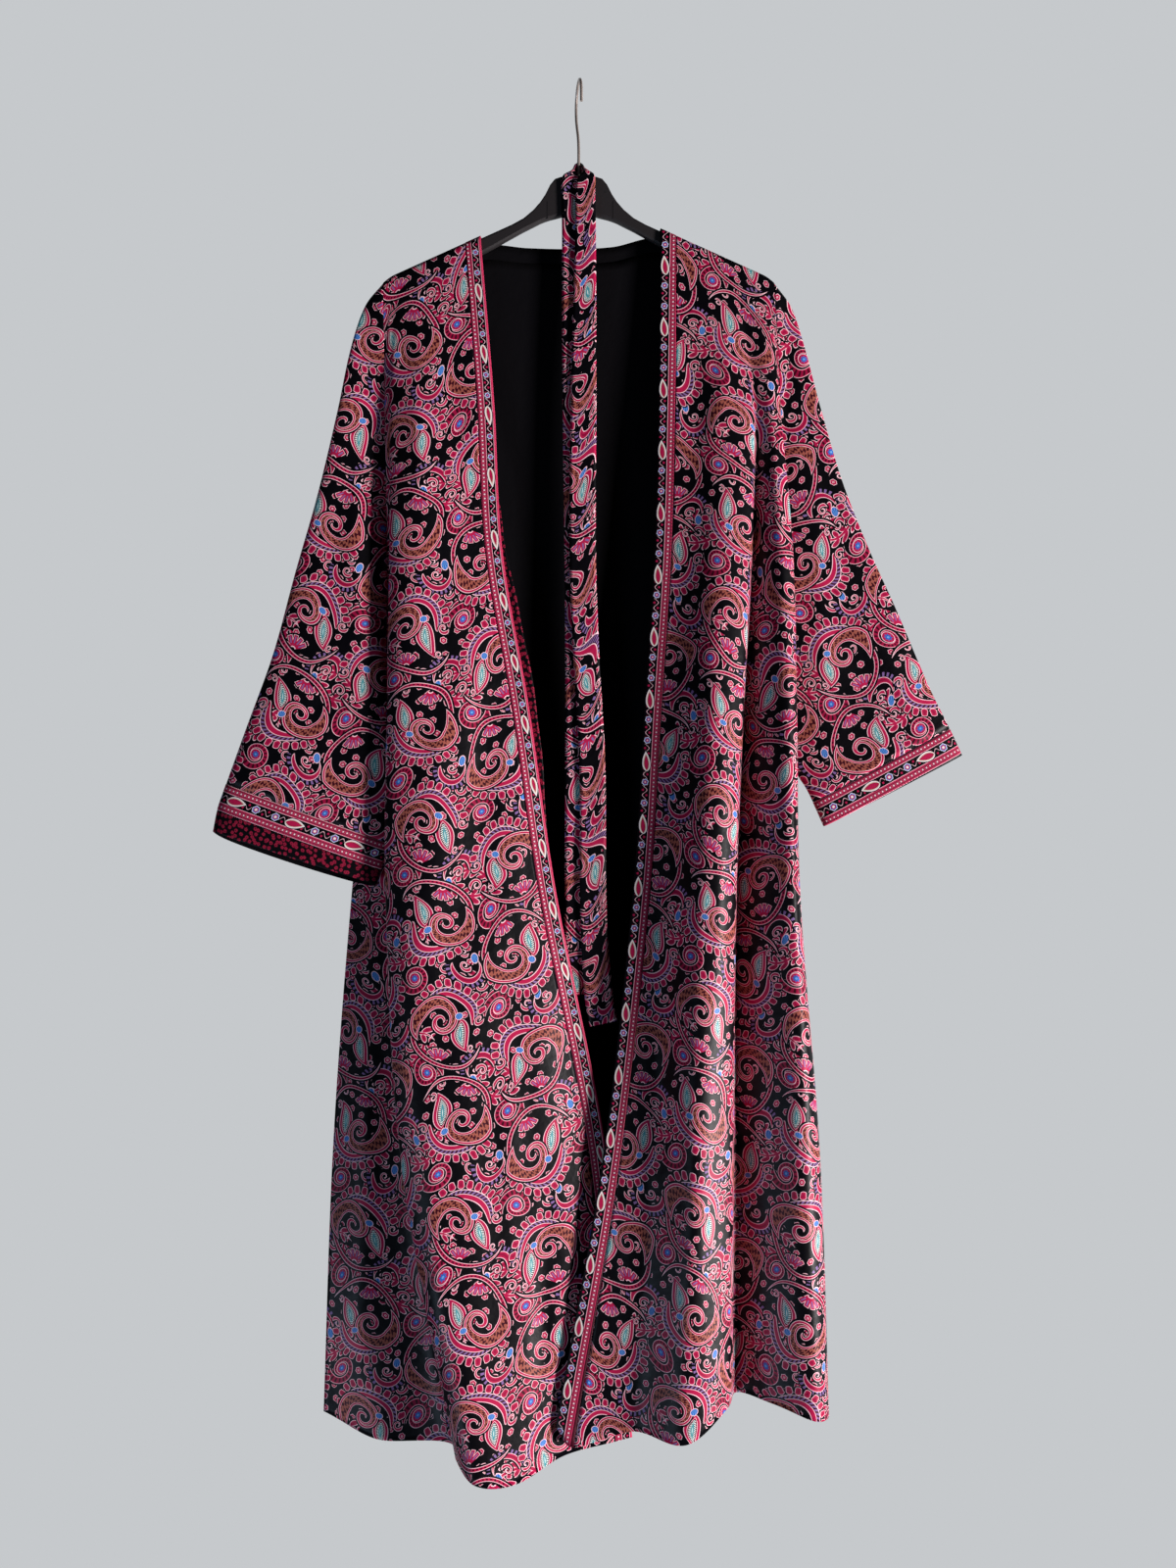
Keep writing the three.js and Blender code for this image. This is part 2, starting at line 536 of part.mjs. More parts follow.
function loft(sections) {
  const sides = sections[0].length;
  const last = sections.length - 1;
  const vertices = sections.flat();
  const faces = [];
  for (let s = 0; s < last; s++) {
    for (let k = 0; k < sides; k++) {
      const next = (k + 1) % sides;
      const [a, b] = [s * sides, (s + 1) * sides];
      faces.push([a + k, a + next, b + next], [a + k, b + next, b + k]);
    }
  }
  for (let k = 1; k < sides - 1; k++) {
    faces.push([0, k + 1, k], [last * sides, last * sides + k, last * sides + k + 1]);
  }
  return closedGeometry(vertices, faces);
}

// ---- hook ---------------------------------------------------------------------------------------

function hookPath() {
  const turn = THREE.MathUtils.degToRad(HOOK_TURN);
  const middle = HOOK_WIRE / 2 - HOOK_RADIUS;
  const at = (out, z) => new THREE.Vector3(-out * Math.sin(turn), out * Math.cos(turn), z);
  const points = [at(0, HANGER[0].top - HOOK_SEAT), at(0, -84)];
  points.push(...HOOK_STEM.map(({ out, z }) => at(out, z)).reverse());
  for (let degrees = 0; degrees <= 180; degrees += 22.5) {
    const angle = THREE.MathUtils.degToRad(degrees);
    points.push(at(HOOK_RADIUS * Math.cos(angle), middle + HOOK_RADIUS * Math.sin(angle)));
  }
  points.push(at(-HOOK_RADIUS - 0.6, middle - HOOK_TIP));
  return new THREE.CatmullRomCurve3(points, false, "centripetal");
}

function hookPiece() {
  const section = new THREE.Shape().absarc(0, 0, HOOK_WIRE / 2, 0, 2 * Math.PI);
  return new THREE.ExtrudeGeometry(section, {
    extrudePath: hookPath(),
    steps: 38,
    curveSegments: 5,
    bevelEnabled: false,
  });
}

// ---- cutting with manifold-3d -------------------------------------------------------------------

const wasm = await Module();
wasm.setup();

function solidOf(geometry) {
  const bare = geometry.index ? geometry.toNonIndexed() : geometry.clone();
  bare.deleteAttribute("normal");
  bare.deleteAttribute("uv");
  const merged = mergeVertices(bare, 1e-4);
  return new wasm.Manifold(
    new wasm.Mesh({
      numProp: 3,
      vertProperties: new Float32Array(merged.attributes.position.array),
      triVerts: new Uint32Array(merged.index.array),
    }),
  );
}

function geometryOf(solid) {
  const mesh = solid.getMesh();
  const geometry = new THREE.BufferGeometry();
  geometry.setAttribute("position", new THREE.BufferAttribute(mesh.vertProperties.slice(), 3));
  geometry.setIndex(new THREE.BufferAttribute(mesh.triVerts.slice(), 1));
  return geometry;
}

// The hanger with the blind hole that the hook's stem is fixed in.
function hangerPiece() {
  const body = loft(hangerStations().map(([x, top, bottom]) => hangerSection(x, top, bottom)));
  const above = 5;
  const depth = HOOK_SEAT + GAP;
  const drill = new THREE.CylinderGeometry(HOOK_WIRE / 2 + GAP, HOOK_WIRE / 2 + GAP, depth + above, 12);
  drill.rotateX(Math.PI / 2);
  drill.translate(0, 0, HANGER[0].top - depth + (depth + above) / 2);
  return geometryOf(solidOf(body).subtract(solidOf(drill)));
}

// ---- the scene ----------------------------------------------------------------------------------

const material = (color, roughness, metalness = 0) =>
  new THREE.MeshStandardMaterial({ color, roughness, metalness });
const PRINT = material(0x6e2a3a, 0.5);
const BORDER = material(0x9c3a52, 0.5);
const BLACK_CLOTH = material(0x08080c, 0.85);
const TURN_CLOTH = material(0x4a1424, 0.6);
const PLASTIC = material(0x1c1c1e, 0.45);
const WIRE = material(0x8a8078, 0.3, 1);

const robe = new THREE.Group();

function add(name, geometry, look) {
  const mesh = new THREE.Mesh(geometry, look);
  mesh.name = name;
  robe.add(mesh);
}

const rightFront = frontPieces(RIGHT_FRONT);
const leftFront = frontPieces(LEFT_FRONT);
const rightSleeve = sleevePieces(RIGHT_SLEEVE, RIGHT_FRONT, BACK[0], -1);
const leftSleeve = sleevePieces(LEFT_SLEEVE, LEFT_FRONT, BACK[BACK.length - 1], 1);

add("back", backPiece(), PRINT);
add("back_lining", liningPiece(), BLACK_CLOTH);
add("front_right", rightFront.panel, PRINT);
add("front_left", leftFront.panel, PRINT);
add("band_right", rightFront.band, BORDER);
add("band_left", leftFront.band, BORDER);
add("facing_right", edgeFacingPiece(), TURN_CLOTH);
add("sleeve_right", rightSleeve.tube, PRINT);
add("sleeve_left", leftSleeve.tube, PRINT);
add("cuff_right", rightSleeve.border, BORDER);
add("cuff_left", leftSleeve.border, BORDER);
add("cuff_facing_right", rightSleeve.turn, TURN_CLOTH);
add("belt", beltPiece(), PRINT);
add("hanger", hangerPiece(), PLASTIC);
add("hook", hookPiece(), WIRE);

export default robe;
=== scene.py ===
"""The looks of an open-front kimono robe with its tie belt, on a clothes hanger.

Metres, +Z up. +X is the wearer's left and the front of the robe faces -Y. The cloth lies on the same
fold lines as the CAD panels, cut finer, with creases added, and is coloured by shader nodes that
work in millimetres of the flat cut.
"""

import math
import random
from typing import NamedTuple

import bmesh
import bpy
import numpy as np
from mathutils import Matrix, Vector


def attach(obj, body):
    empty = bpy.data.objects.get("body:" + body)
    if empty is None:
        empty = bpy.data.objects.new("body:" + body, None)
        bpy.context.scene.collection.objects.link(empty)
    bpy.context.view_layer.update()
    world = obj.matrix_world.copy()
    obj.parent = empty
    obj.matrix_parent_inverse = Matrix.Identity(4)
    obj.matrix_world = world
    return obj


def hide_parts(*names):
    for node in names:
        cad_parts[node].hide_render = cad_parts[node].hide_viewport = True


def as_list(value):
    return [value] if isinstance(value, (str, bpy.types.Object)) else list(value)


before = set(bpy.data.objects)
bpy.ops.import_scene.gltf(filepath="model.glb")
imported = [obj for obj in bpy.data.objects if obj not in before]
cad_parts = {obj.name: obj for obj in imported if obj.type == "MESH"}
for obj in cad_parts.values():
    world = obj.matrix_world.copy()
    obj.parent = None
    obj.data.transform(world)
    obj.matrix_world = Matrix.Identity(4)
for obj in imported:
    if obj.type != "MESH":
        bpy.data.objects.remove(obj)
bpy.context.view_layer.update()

MM = 0.001

# ---- the cut: the same tables as the CAD panels, in millimetres ----------------------------------

GAP = 0.3  # between two pieces at a seam
CLOTH = 1.6  # outer cloth with its backing
BAND_WALL = 2.2  # the border bands are doubled cloth
LINING_WALL = 1.0
LINING_BACK = 0.5  # between the lining and the back
FACING_WALL = 1.0
BELT_WALL = 2.2
HEM_TURN = 20  # depth of the turned hem
HEM_EXTRA = 0.8  # how much thicker a front's wall is over the turn
UNDERARM_Z = -480
INNER_LEVELS = [-330, UNDERARM_Z, -635, -820, -1090]  # chest, underarm, waist, hip, knee
# a point on the shoulder seam, its slope, and how it curves down from tip_x on
SHOULDER = dict(x=68, z=-142.8, slope=0.452, tip_x=186, tip_drop=0.02)
SHOULDER_WRAP = [(7.2, 5.0), (7.0, 3.0), (4.8, 1.0), (0.0, 0.0), (-4.6, 1.2)]  # y, drop
WRAP_END_DROP = 5
LINING_SHARE = (0.008, 0.86)  # the stretch of the back's length that the lining covers
LAYER_FULLNESS = 0.7  # below 1 the two layers of a sleeve stay flat nearly to its folds

BODY_ROWS = 20  # of a CAD panel
FINE_DOWN = 7  # fine rows to each of them
FINE_ACROSS = 5  # fine columns to each of a CAD panel's
WRAP_FINE = 3  # fine rows to each step of SHOULDER_WRAP
HEM_ROWS = 3  # fine rows over the turned hem
RING_POINTS = 100  # round a sleeve
SLEEVE_FINE = 6  # fine rows to each CAD row of a sleeve
ARMHOLE_STEPS = 2  # CAD rows from the armhole to a sleeve's cap
BELT_FINE = 4  # fine rows to each CAD row of the belt
BELT_COLUMNS = 9


class Fold(NamedTuple):
    """A line down a panel: its places at the shoulder, at INNER_LEVELS and at the hem."""

    name: str
    steps: int  # CAD columns between it and the next line
    hem: float
    x: list
    y: list
    top: float = None  # its height, where it isn't the shoulder's


class Ring(NamedTuple):
    """A ring round a sleeve, flattened between the x and z of two folds."""

    name: str
    outer: tuple
    inner: tuple
    y: float
    depth: float  # from its middle to each layer
    steps: int
    back_drop: float = 0  # how much lower the layer behind hangs


RIGHT_FRONT = [
    Fold("edge", 2, -1376,
         [-99.5, -85.5, -77, -50.5, -23.5, 28.5, 54], [-5.8, -10, -13, -15, -15, -12, -10]),
    Fold("seam", 2, -1379, [-115, -103, -94.5, -68, -41, 11, 36], [-5.8, -12, -15, -18, -18, -15, -13]),
    Fold("inner", 2, -1387, [-128, -118, -112, -90, -68, -28, -14], [-5.8, -14, -19, -23, -26, -27, -26]),
    Fold("middle", 3, -1404,
         [-143, -138, -135, -122, -108, -80, -60], [-5.8, -17, -26, -32, -38, -42, -46]),
    Fold("crest", 3, -1399,
         [-162, -165, -166, -163, -158, -138, -100], [-5.8, -19, -31, -39, -46, -54, -62]),
    Fold("roll", 2, -1382,
         [-178, -187, -188.5, -190, -191, -174, -120], [-5.8, -15, -25, -31, -36, -42, -46]),
    Fold("tuck", 2, -1379,
         [-184, -192, -182, -181, -180, -166, -122], [-5.8, -11, -14, -17, -20, -23, -26]),
    Fold("trough", 2, -1380,
         [-189, -194.5, -187, -184, -185, -176, -142], [-5.8, -9, -5, -3.5, -4, -6, -9]),
    Fold("side", 3, -1380, [-193, -196, -194, -198, -210, -215, -205], [-5.8, -7, -1.5, 1.5, 1, -3, -6]),
    Fold("sideSeam", 0, -1357,
         [-198.5, -197, -199.5, -212, -232, -252, -261], [-5.8, -6, -1.1, 5, 8, 8, 6]),
]
LEFT_FRONT = [
    Fold("edge", 2, -1354, [83, 80.5, 76.5, 66.5, 55, 24, -22.5], [-5.8, -10, -14, -17, -20, -27, -32]),
    Fold("seam", 2, -1374, [99, 98, 94, 84, 72.5, 41.5, -5], [-5.8, -12, -17, -20, -23, -30, -35]),
    Fold("middle", 3, -1357, [112, 114, 112, 105, 94, 73, 53], [-5.8, -14, -22, -28, -31, -36, -38]),
    Fold("crest", 3, -1358, [132, 150, 146, 135, 123, 113, 105], [-5.8, -18, -34, -45, -55, -61, -63]),
    Fold("drop", 2, -1332,
         [148, 172, 169.5, 161.5, 153.5, 149.5, 146], [-5.8, -15, -27, -35, -41, -43, -44]),
    Fold("trough", 2, -1331, [158, 178, 177, 169, 161.5, 160, 160], [-5.8, -11, -10.5, -9.5, -9, -9, -10]),
    Fold("rise", 2, -1332, [168, 185, 190, 187, 185, 190, 194], [-5.8, -13, -20, -25, -27, -30, -32]),
    Fold("sideCrest", 2, -1342, [178, 193, 203, 208, 212, 225, 232], [-5.8, -15, -27, -36, -41, -46, -48]),
    Fold("roll", 2, -1347, [188, 202, 215, 218, 221, 241, 249.5], [-5.8, -12, -19, -24, -25, -28, -28]),
    Fold("tuck", 2, -1342, [193, 203.5, 209, 206, 212, 234, 244], [-5.8, -8, -8, -10, -8, -8, -8]),
    Fold("sideSeam", 0, -1339, [198.5, 204.5, 205.5, 197, 208, 230, 238], [-5.8, -6, -1.1, 3, 4, 5, 6]),
]
BACK = [
    Fold("rightSeam", 3, -1357,
         [-198.5, -197, -199.5, -212, -232, -252, -261], [7.2, 6, 1.3, 7.4, 10.4, 10.4, 8.4], -206.4),
    Fold("rightFold", 3, -1372,
         [-150, -150, -152, -156, -168, -184, -190], [7.2, 12, 15, 18, 23, 28, 34], -184.9),
    Fold("rightNeck", 3, -1374,
         [-100.5, -102, -104, -106, -112, -122, -126], [7.2, 11, 11, 11, 12, 13, 15], -162.8),
    Fold("rightNape", 3, -1376, [-52, -55, -56, -56, -58, -62, -64], [7.6, 12, 15, 18, 24, 31, 38], -165.2),
    Fold("nape", 3, -1372, [-9, -9, -8, -6, -4, -2, 0], [8, 13, 13, 14, 15, 17, 19], -166),
    Fold("leftNape", 3, -1364, [35, 38, 40, 42, 46, 52, 56], [7.6, 12, 16, 20, 26, 33, 40], -164),
    Fold("leftNeck", 3, -1352, [84, 86, 90, 92, 98, 108, 112], [7.2, 11, 12, 12, 13, 14, 15], -155.2),
    Fold("leftFold", 3, -1336, [140, 146, 148, 146, 152, 166, 172], [7.2, 12, 15, 18, 22, 28, 34], -180.6),
    Fold("leftSeam", 0, -1339,
         [198.5, 204.5, 205.5, 197, 208, 230, 238], [7.2, 6, 1.3, 5.4, 6.4, 7.4, 8.4], -206.4),
]
RIGHT_SLEEVE = [
    Ring("cap", (-217, -229), (-196, -508), -2, 5.5, 2),
    Ring("upper", (-231, -273), (-196, -553), -5, 6.5, 2),
    Ring("bicep", (-244, -339), (-195, -605), -9, 7, 2),
    Ring("elbow", (-263.5, -424), (-190, -655), -12, 7.5, 2),
    Ring("forearm", (-285, -502), (-189, -695), -15, 8, 2),
    Ring("lower", (-307, -583), (-189.5, -728), -15, 8, 1),
    Ring("wrist", (-333, -655), (-190.5, -752), -15, 9, 1),
    Ring("borderSeam", (-354.5, -715), (-193.5, -774), -15, 10, 2),
    Ring("cuffEdge", (-363.5, -741), (-200, -801), -15, 11, 2),
    Ring("turnEdge", (-368, -763), (-204, -816), -15, 12, 0, 8),
]
LEFT_SLEEVE = [
    Ring("cap", (216, -229), (203, -512), 0, 5, 2),
    Ring("upper", (229, -268), (205, -556), -1, 6, 2),
    Ring("bicep", (246, -333), (209, -602), -2, 7, 2),
    Ring("elbow", (268, -408), (211, -640), -3, 7, 2),
    Ring("forearm", (294, -475), (215.5, -676), -4, 7, 2),
    Ring("lower", (321, -536), (222, -703), -5, 7, 1),
    Ring("wrist", (354, -614), (231, -718), -6, 8, 1),
    Ring("borderSeam", (375.5, -659), (238.5, -733), -7, 9, 2),
    Ring("cuffEdge", (388, -686), (249.5, -757.5), -7, 10, 0),
]
# share of the right front's length, and how far the facing shows past the edge there
EDGE_FACING = [(0.2, -1.5), (0.25, 3), (0.31, 7.5), (0.37, 8), (0.42, 6.5), (0.47, 3), (0.51, -1.5)]
# places of the belt's two edges, and CAD rows to the next
BELT = [
    ((12, -5.5, -928), (-15, -5.5, -930), 6),
    ((13.5, -5.5, -600), (-13.5, -5.5, -600), 5),
    ((10.5, -5.5, -300), (-16.5, -5.5, -300), 3),
    ((9.5, -5.5, -150), (-17, -5.5, -150), 2),
    ((7, -5.6, -115), (-17.5, -5.6, -115), 1),
    ((3, -5.8, -103), (-16.4, -5.8, -97.8), 1),
    ((-1.8, -5.7, -98.0), (-7.8, -5.4, -92.0), 2),
    ((-3.4, -1.5, -94.3), (-4.6, -2.5, -86.6), 2),
    ((-2.8, 2.8, -94.3), (-2.6, 2.4, -80.8), 2),
    ((0, 3.6, -94.3), (0.3, 3.6, -78.6), 2),
    ((2.8, 2.8, -94.3), (2.8, 2.2, -80.8), 2),
    ((3.4, -1.5, -94.3), (5.2, -3, -86.6), 2),
    ((1.8, -8.3, -98), (8.6, -7.6, -92.0), 2),
    ((-1.5, -8.6, -103), (16.3, -8.6, -98.4), 1),
    ((-3, -8.6, -115), (16.7, -8.6, -115), 2),
    ((-3.5, -8.4, -155), (17.5, -8.4, -155), 3),
    ((-8, -8.4, -330), (18, -8.4, -330), 3),
    ((-9.5, -8.4, -475), (17.5, -8.4, -475), 2),
    ((-5.5, -8.4, -585), (21, -8.4, -585), 2),
    ((0.7, -8.4, -695), (27, -8.4, -695), 2),
    ((1.5, -8.4, -845), (28.5, -8.4, -845), 2),
    ((6, -8.4, -930), (34.5, -8.4, -927), 1),
    ((11.5, -8.4, -961), (39, -8.4, -955), 0),
]


# ---- curves -------------------------------------------------------------------------------------

def smooth(places, values, at):
    """Smooth values through (places[i], values[i]), at any places between the first and last."""
    places, values, at = (np.asarray(a, float) for a in (places, values, at))
    last = len(places) - 1
    before = np.maximum(np.arange(last + 1) - 1, 0)
    after = np.minimum(np.arange(last + 1) + 1, last)
    slope = ((values[after] - values[before]).T / (places[after] - places[before])).T
    rising = places[-1] > places[0]
    i = np.searchsorted(places if rising else -places, at if rising else -at, side="right") - 1
    i = np.clip(i, 0, last - 1)
    span = places[i + 1] - places[i]
    t = (at - places[i]) / span
    shape = (-1,) + (1,) * (values.ndim - 1)
    t, span = t.reshape(shape), span.reshape(shape)
    return (
        (2 * t**3 - 3 * t**2 + 1) * values[i]
        + (t**3 - 2 * t**2 + t) * span * slope[i]
        + (3 * t**2 - 2 * t**3) * values[i + 1]
        + (t**3 - t**2) * span * slope[i + 1]
    )


def through(points, steps, fine):
    """Points on one smooth curve through the given ones, with fine * steps[i] spans after point i."""
    points = np.asarray(points, float)
    gaps = np.sqrt(np.linalg.norm(np.diff(points, axis=0), axis=1)) + 1e-6
    places = np.concatenate([[0], np.cumsum(gaps)])
    at = [
        places[i] + (places[i + 1] - places[i]) * s / (steps[i] * fine)
        for i in range(len(points) - 1)
        for s in range(steps[i] * fine)
    ]
    return smooth(places, points, at + [places[-1]])


def shoulder_z(x):
    past = np.maximum(0, np.abs(x) - SHOULDER["tip_x"])
    run = np.abs(x) - SHOULDER["x"]
    return SHOULDER["z"] - SHOULDER["slope"] * run - SHOULDER["tip_drop"] * past**2


def line_top(line):
    return line.top if line.top is not None else shoulder_z(line.x[0]) - WRAP_END_DROP


def line_at_height(line, z):
    heights = [line_top(line), *INNER_LEVELS, line.hem]
    return np.array([smooth(heights, line.x, [z])[0], smooth(heights, line.y, [z])[0], z])


def line_at(line, share):
    top = line_top(line)
    return line_at_height(line, top + (line.hem - top) * share)


def grid_places(table, fine, start=0):
    """The fine row or column at which each named row of a table lies."""
    places = {}
    for row in table:
        places[row.name] = start
        start += row.steps * fine
    return places


def row_shares(lines):
    """Shares of the panel's length at which its rows lie: the last HEM_ROWS are the turned hem."""
    turn = 1 - HEM_TURN / (line_top(lines[0]) - lines[0].hem)
    body = turn * np.arange(BODY_ROWS * FINE_DOWN + 1) / (BODY_ROWS * FINE_DOWN)
    return np.concatenate([body, turn + (1 - turn) * np.arange(1, HEM_ROWS + 1) / HEM_ROWS])


def body_grid(lines, shares):
    steps = [line.steps for line in lines]
    return np.array([through([line_at(line, s) for line in lines], steps, FINE_ACROSS) for s in shares])


def meet_shoulder(grid, neck=(0, 0)):
    """Moves the top row to the shoulder seam, apart from what lies in the neck."""
    top = grid[0]
    seam = (top[:, 0] <= neck[0]) | (top[:, 0] >= neck[1])
    top[seam, 2] = shoulder_z(top[seam, 0]) - WRAP_END_DROP
    return grid


def front_grid(lines):
    """A front's rows, from behind the hanger's arm over the shoulder and down to the hem."""
    rows = meet_shoulder(body_grid(lines, row_shares(lines)))
    x = rows[0, :, 0]
    wrap = np.array(SHOULDER_WRAP)
    places = np.arange(len(wrap))
    at = np.linspace(0, places[-1], WRAP_FINE * places[-1] + 1)
    over = [
        np.stack([x, np.full(len(x), y), shoulder_z(x) - drop], axis=1)
        for y, drop in zip(np.interp(at, places, wrap[:, 0]), np.interp(at, places, wrap[:, 1]))
    ]
    return np.concatenate([np.array(over), rows])


# ---- cloth --------------------------------------------------------------------------------------

CREASE_SWAY = 0.35  # how unevenly deep a crease is along its length
RUMPLE_WAVES = 9
RUMPLE_LENGTHS = (46, 120)
RUMPLE_SLANT = 0.22
RUMPLE_FROM = 200  # below the hook's top, where the waves start
RUMPLE_OVER = 500  # how much further down they are full


def normals(grid, ring=False):
    if ring:
        along = np.roll(grid, -1, axis=1) - np.roll(grid, 1, axis=1)
    else:
        along = np.gradient(grid, axis=1)
    n = np.cross(along, np.gradient(grid, axis=0))
    return n / np.linalg.norm(n, axis=2, keepdims=True)


def arc_lengths(grid, axis):
    step = np.linalg.norm(np.diff(grid, axis=axis), axis=2)
    zero = np.zeros_like(step[:, :1] if axis == 1 else step[:1])
    return np.concatenate([zero, np.cumsum(step, axis=axis)], axis=axis)


def cut_map(grid, grain=0):
    """Millimetres of the flat cut at each point: across from the grain column, and up from the top
    row, so that they fall towards the hem."""
    across = arc_lengths(grid, 1)
    return np.stack([across - across[:, grain : grain + 1], -arc_lengths(grid, 0)], axis=2)


def crease(grid, creases):
    """Moves cloth to and fro along soft creases, which fade out towards their ends."""
    shift = np.zeros(grid.shape[:2])
    for x0, z0, x1, z1, width, depth in creases:
        start = np.array([x0, z0])
        run = np.array([x1, z1]) - start
        place = grid[:, :, [0, 2]] - start
        t = (place @ run) / (run @ run)
        off = place - t[..., None] * run
        wave = 1 + CREASE_SWAY * np.sin(9 * t + x0)
        fade = np.clip(1.15 - np.abs(2 * t - 1), 0, 1)
        fade = fade * fade * (3 - 2 * fade)
        shift += depth * wave * fade * np.exp(-((off**2).sum(axis=2)) / (width * width))
    grid = grid.copy()
    grid[:, :, 1] += shift
    return grid


def rumple(grid, seed, amount):
    """Small uneven waves below the shoulder, so that no stretch of cloth is ironed flat."""
    rng = random.Random(seed)
    x, z = grid[:, :, 0], grid[:, :, 2]
    shift = np.zeros(x.shape)
    for _ in range(RUMPLE_WAVES):
        across = 2 * math.pi / rng.uniform(*RUMPLE_LENGTHS)
        down = across * rng.uniform(-RUMPLE_SLANT, RUMPLE_SLANT)
        shift += rng.uniform(0.4, 1) * np.sin(across * x + down * z + rng.uniform(0, 6.28))
    fall = np.clip((-z - RUMPLE_FROM) / RUMPLE_OVER, 0, 1)
    grid = grid.copy()
    grid[:, :, 1] += amount / 3 * shift * fall
    return grid


EVERY = slice(None)
EDGES = {
    # an edge of a grid, and the row or column next to it
    "first_row": ((0,), (1,)),
    "last_row": ((-1,), (-2,)),
    "first_column": ((EVERY, 0), (EVERY, 1)),
    "last_column": ((EVERY, -1), (EVERY, -2)),
}
SEAM_CLEAR = GAP / 2 + 0.07


def shrink(grid, *edges):
    """Draws the named edges in by a share of the seam's gap."""
    grid = grid.copy()
    for name in edges:
        edge, near = EDGES[name]
        to = grid[near] - grid[edge]
        grid[edge] = grid[edge] + to * (SEAM_CLEAR / np.linalg.norm(to, axis=-1, keepdims=True))
    return grid


def new_object(name, data):
    made = bpy.data.objects.new(name, data)
    bpy.context.scene.collection.objects.link(made)
    return made


def new_piece(name, points, faces, *materials):
    """A mesh in millimetres, and its object."""
    mesh = bpy.data.meshes.new(name)
    mesh.from_pydata((np.asarray(points, float) * MM).tolist(), [], faces)
    for material in materials:
        mesh.materials.append(material)
    return mesh, new_object(name, mesh)


def shell(name, grid, cut, thickness, outside, inside, ring=False, hem_extra=0.0, flip=False):
    """A closed wall on a grid of rows. The outside is the face that normals() points to, or the
    other if flip is set; hem_extra thickens the inside over the turned hem."""
    n = normals(grid, ring) * (-1 if flip else 1)
    thicker = np.zeros(len(grid))
    thicker[-HEM_ROWS:] = hem_extra
    out = grid + n * (thickness / 2)
    back = grid - n * (thickness / 2 + thicker[:, None, None])
    rows, columns = grid.shape[:2]
    index = np.arange(2 * rows * columns).reshape(2, rows, columns)
    wide = columns if ring else columns - 1
    following = (np.arange(wide) + 1) % columns
    cut_next = cut[:, following].copy()
    if ring:
        cut_next[:, -1, 0] = cut[:, -1, 0] + np.linalg.norm(grid[:, 0] - grid[:, -1], axis=1)
    corners = [
        (index[:, :-1, :wide], cut[:-1, :wide]),
        (index[:, :-1][:, :, following], cut_next[:-1]),
        (index[:, 1:][:, :, following], cut_next[1:]),
        (index[:, 1:, :wide], cut[1:, :wide]),
    ]
    faces, sides, uvs = [], [], []
    for side in (0, 1):
        order = corners if side == flip else corners[::-1]
        faces.append(np.stack([number[side].ravel() for number, _ in order], axis=1))
        uvs.append(np.stack([place.reshape(-1, 2) for _, place in order], axis=1))
        sides.append(np.full(len(faces[-1]), side))

    def rim(first, second, cut_first, cut_second):
        """The strip that joins the two faces between the points of an edge and those after them."""
        faces.append(np.stack([first[0], second[0], second[1], first[1]], axis=1))
        uvs.append(np.stack([cut_first, cut_second, cut_second, cut_first], axis=1))
        sides.append(np.zeros(len(first[0]), int))

    for row in (0, -1):
        rim(index[:, row, :wide], index[:, row, following], cut[row, :wide], cut_next[row])
    for column in () if ring else (0, -1):
        rim(index[:, :-1, column], index[:, 1:, column], cut[:-1, column], cut[1:, column])
    faces = np.concatenate(faces)
    points = np.concatenate([out.reshape(-1, 3), back.reshape(-1, 3)])
    mesh, piece = new_piece("robe_" + name, points, faces.tolist(), outside, inside)
    layer = mesh.uv_layers.new(name="Cut")
    layer.data.foreach_set("uv", np.concatenate(uvs).reshape(-1).astype(np.float32))
    mesh.polygons.foreach_set("material_index", np.concatenate(sides).astype(np.int32))
    mesh.polygons.foreach_set("use_smooth", np.ones(len(faces), bool))
    solid = bmesh.new()
    solid.from_mesh(mesh)
    bmesh.ops.recalc_face_normals(solid, faces=solid.faces)
    solid.to_mesh(mesh)
    solid.free()
    return piece


# ---- shader building ----------------------------------------------------------------------------

def linear(hex_colour):
    """An sRGB hex value as linear light."""
    parts = [int(hex_colour[i : i + 2], 16) / 255 for i in (1, 3, 5)]
    return tuple(c / 12.92 if c <= 0.04045 else ((c + 0.055) / 1.055) ** 2.4 for c in parts) + (1.0,)


def add(tree, kind, inputs=(), **settings):
    """Adds a node with its settings, and links or sets its inputs. A text input is a hex colour."""
    node = tree.nodes.new(kind)
    for name, value in settings.items():
        setattr(node, name, value)
    for key, value in dict(inputs).items():
        if isinstance(value, Value):
            tree.links.new(value.socket, node.inputs[key])
        else:
            node.inputs[key].default_value = linear(value) if isinstance(value, str) else value
    return node


def maths(operation, first, *others):
    """A maths node on values and numbers, at least one of them a value."""
    tree = next(v.tree for v in (first, *others) if isinstance(v, Value))
    return Value(add(tree, "ShaderNodeMath", enumerate((first, *others)), operation=operation))


def by(operation):
    """The function that does one operation."""
    return lambda *values: maths(operation, *values)


class Value:
    """What a node gives. Its sums are nodes too, so that formulas read as they are written."""

    def __init__(self, node, output=0):
        self.tree, self.socket = node.id_data, node.outputs[output]

    __add__ = __radd__ = by("ADD")
    __mul__ = __rmul__ = by("MULTIPLY")
    __sub__, __truediv__, __pow__ = by("SUBTRACT"), by("DIVIDE"), by("POWER")
    __lt__, __gt__, __abs__ = by("LESS_THAN"), by("GREATER_THAN"), by("ABSOLUTE")

    def __rsub__(self, number):
        return maths("SUBTRACT", number, self)

    def __neg__(self):
        return self * -1


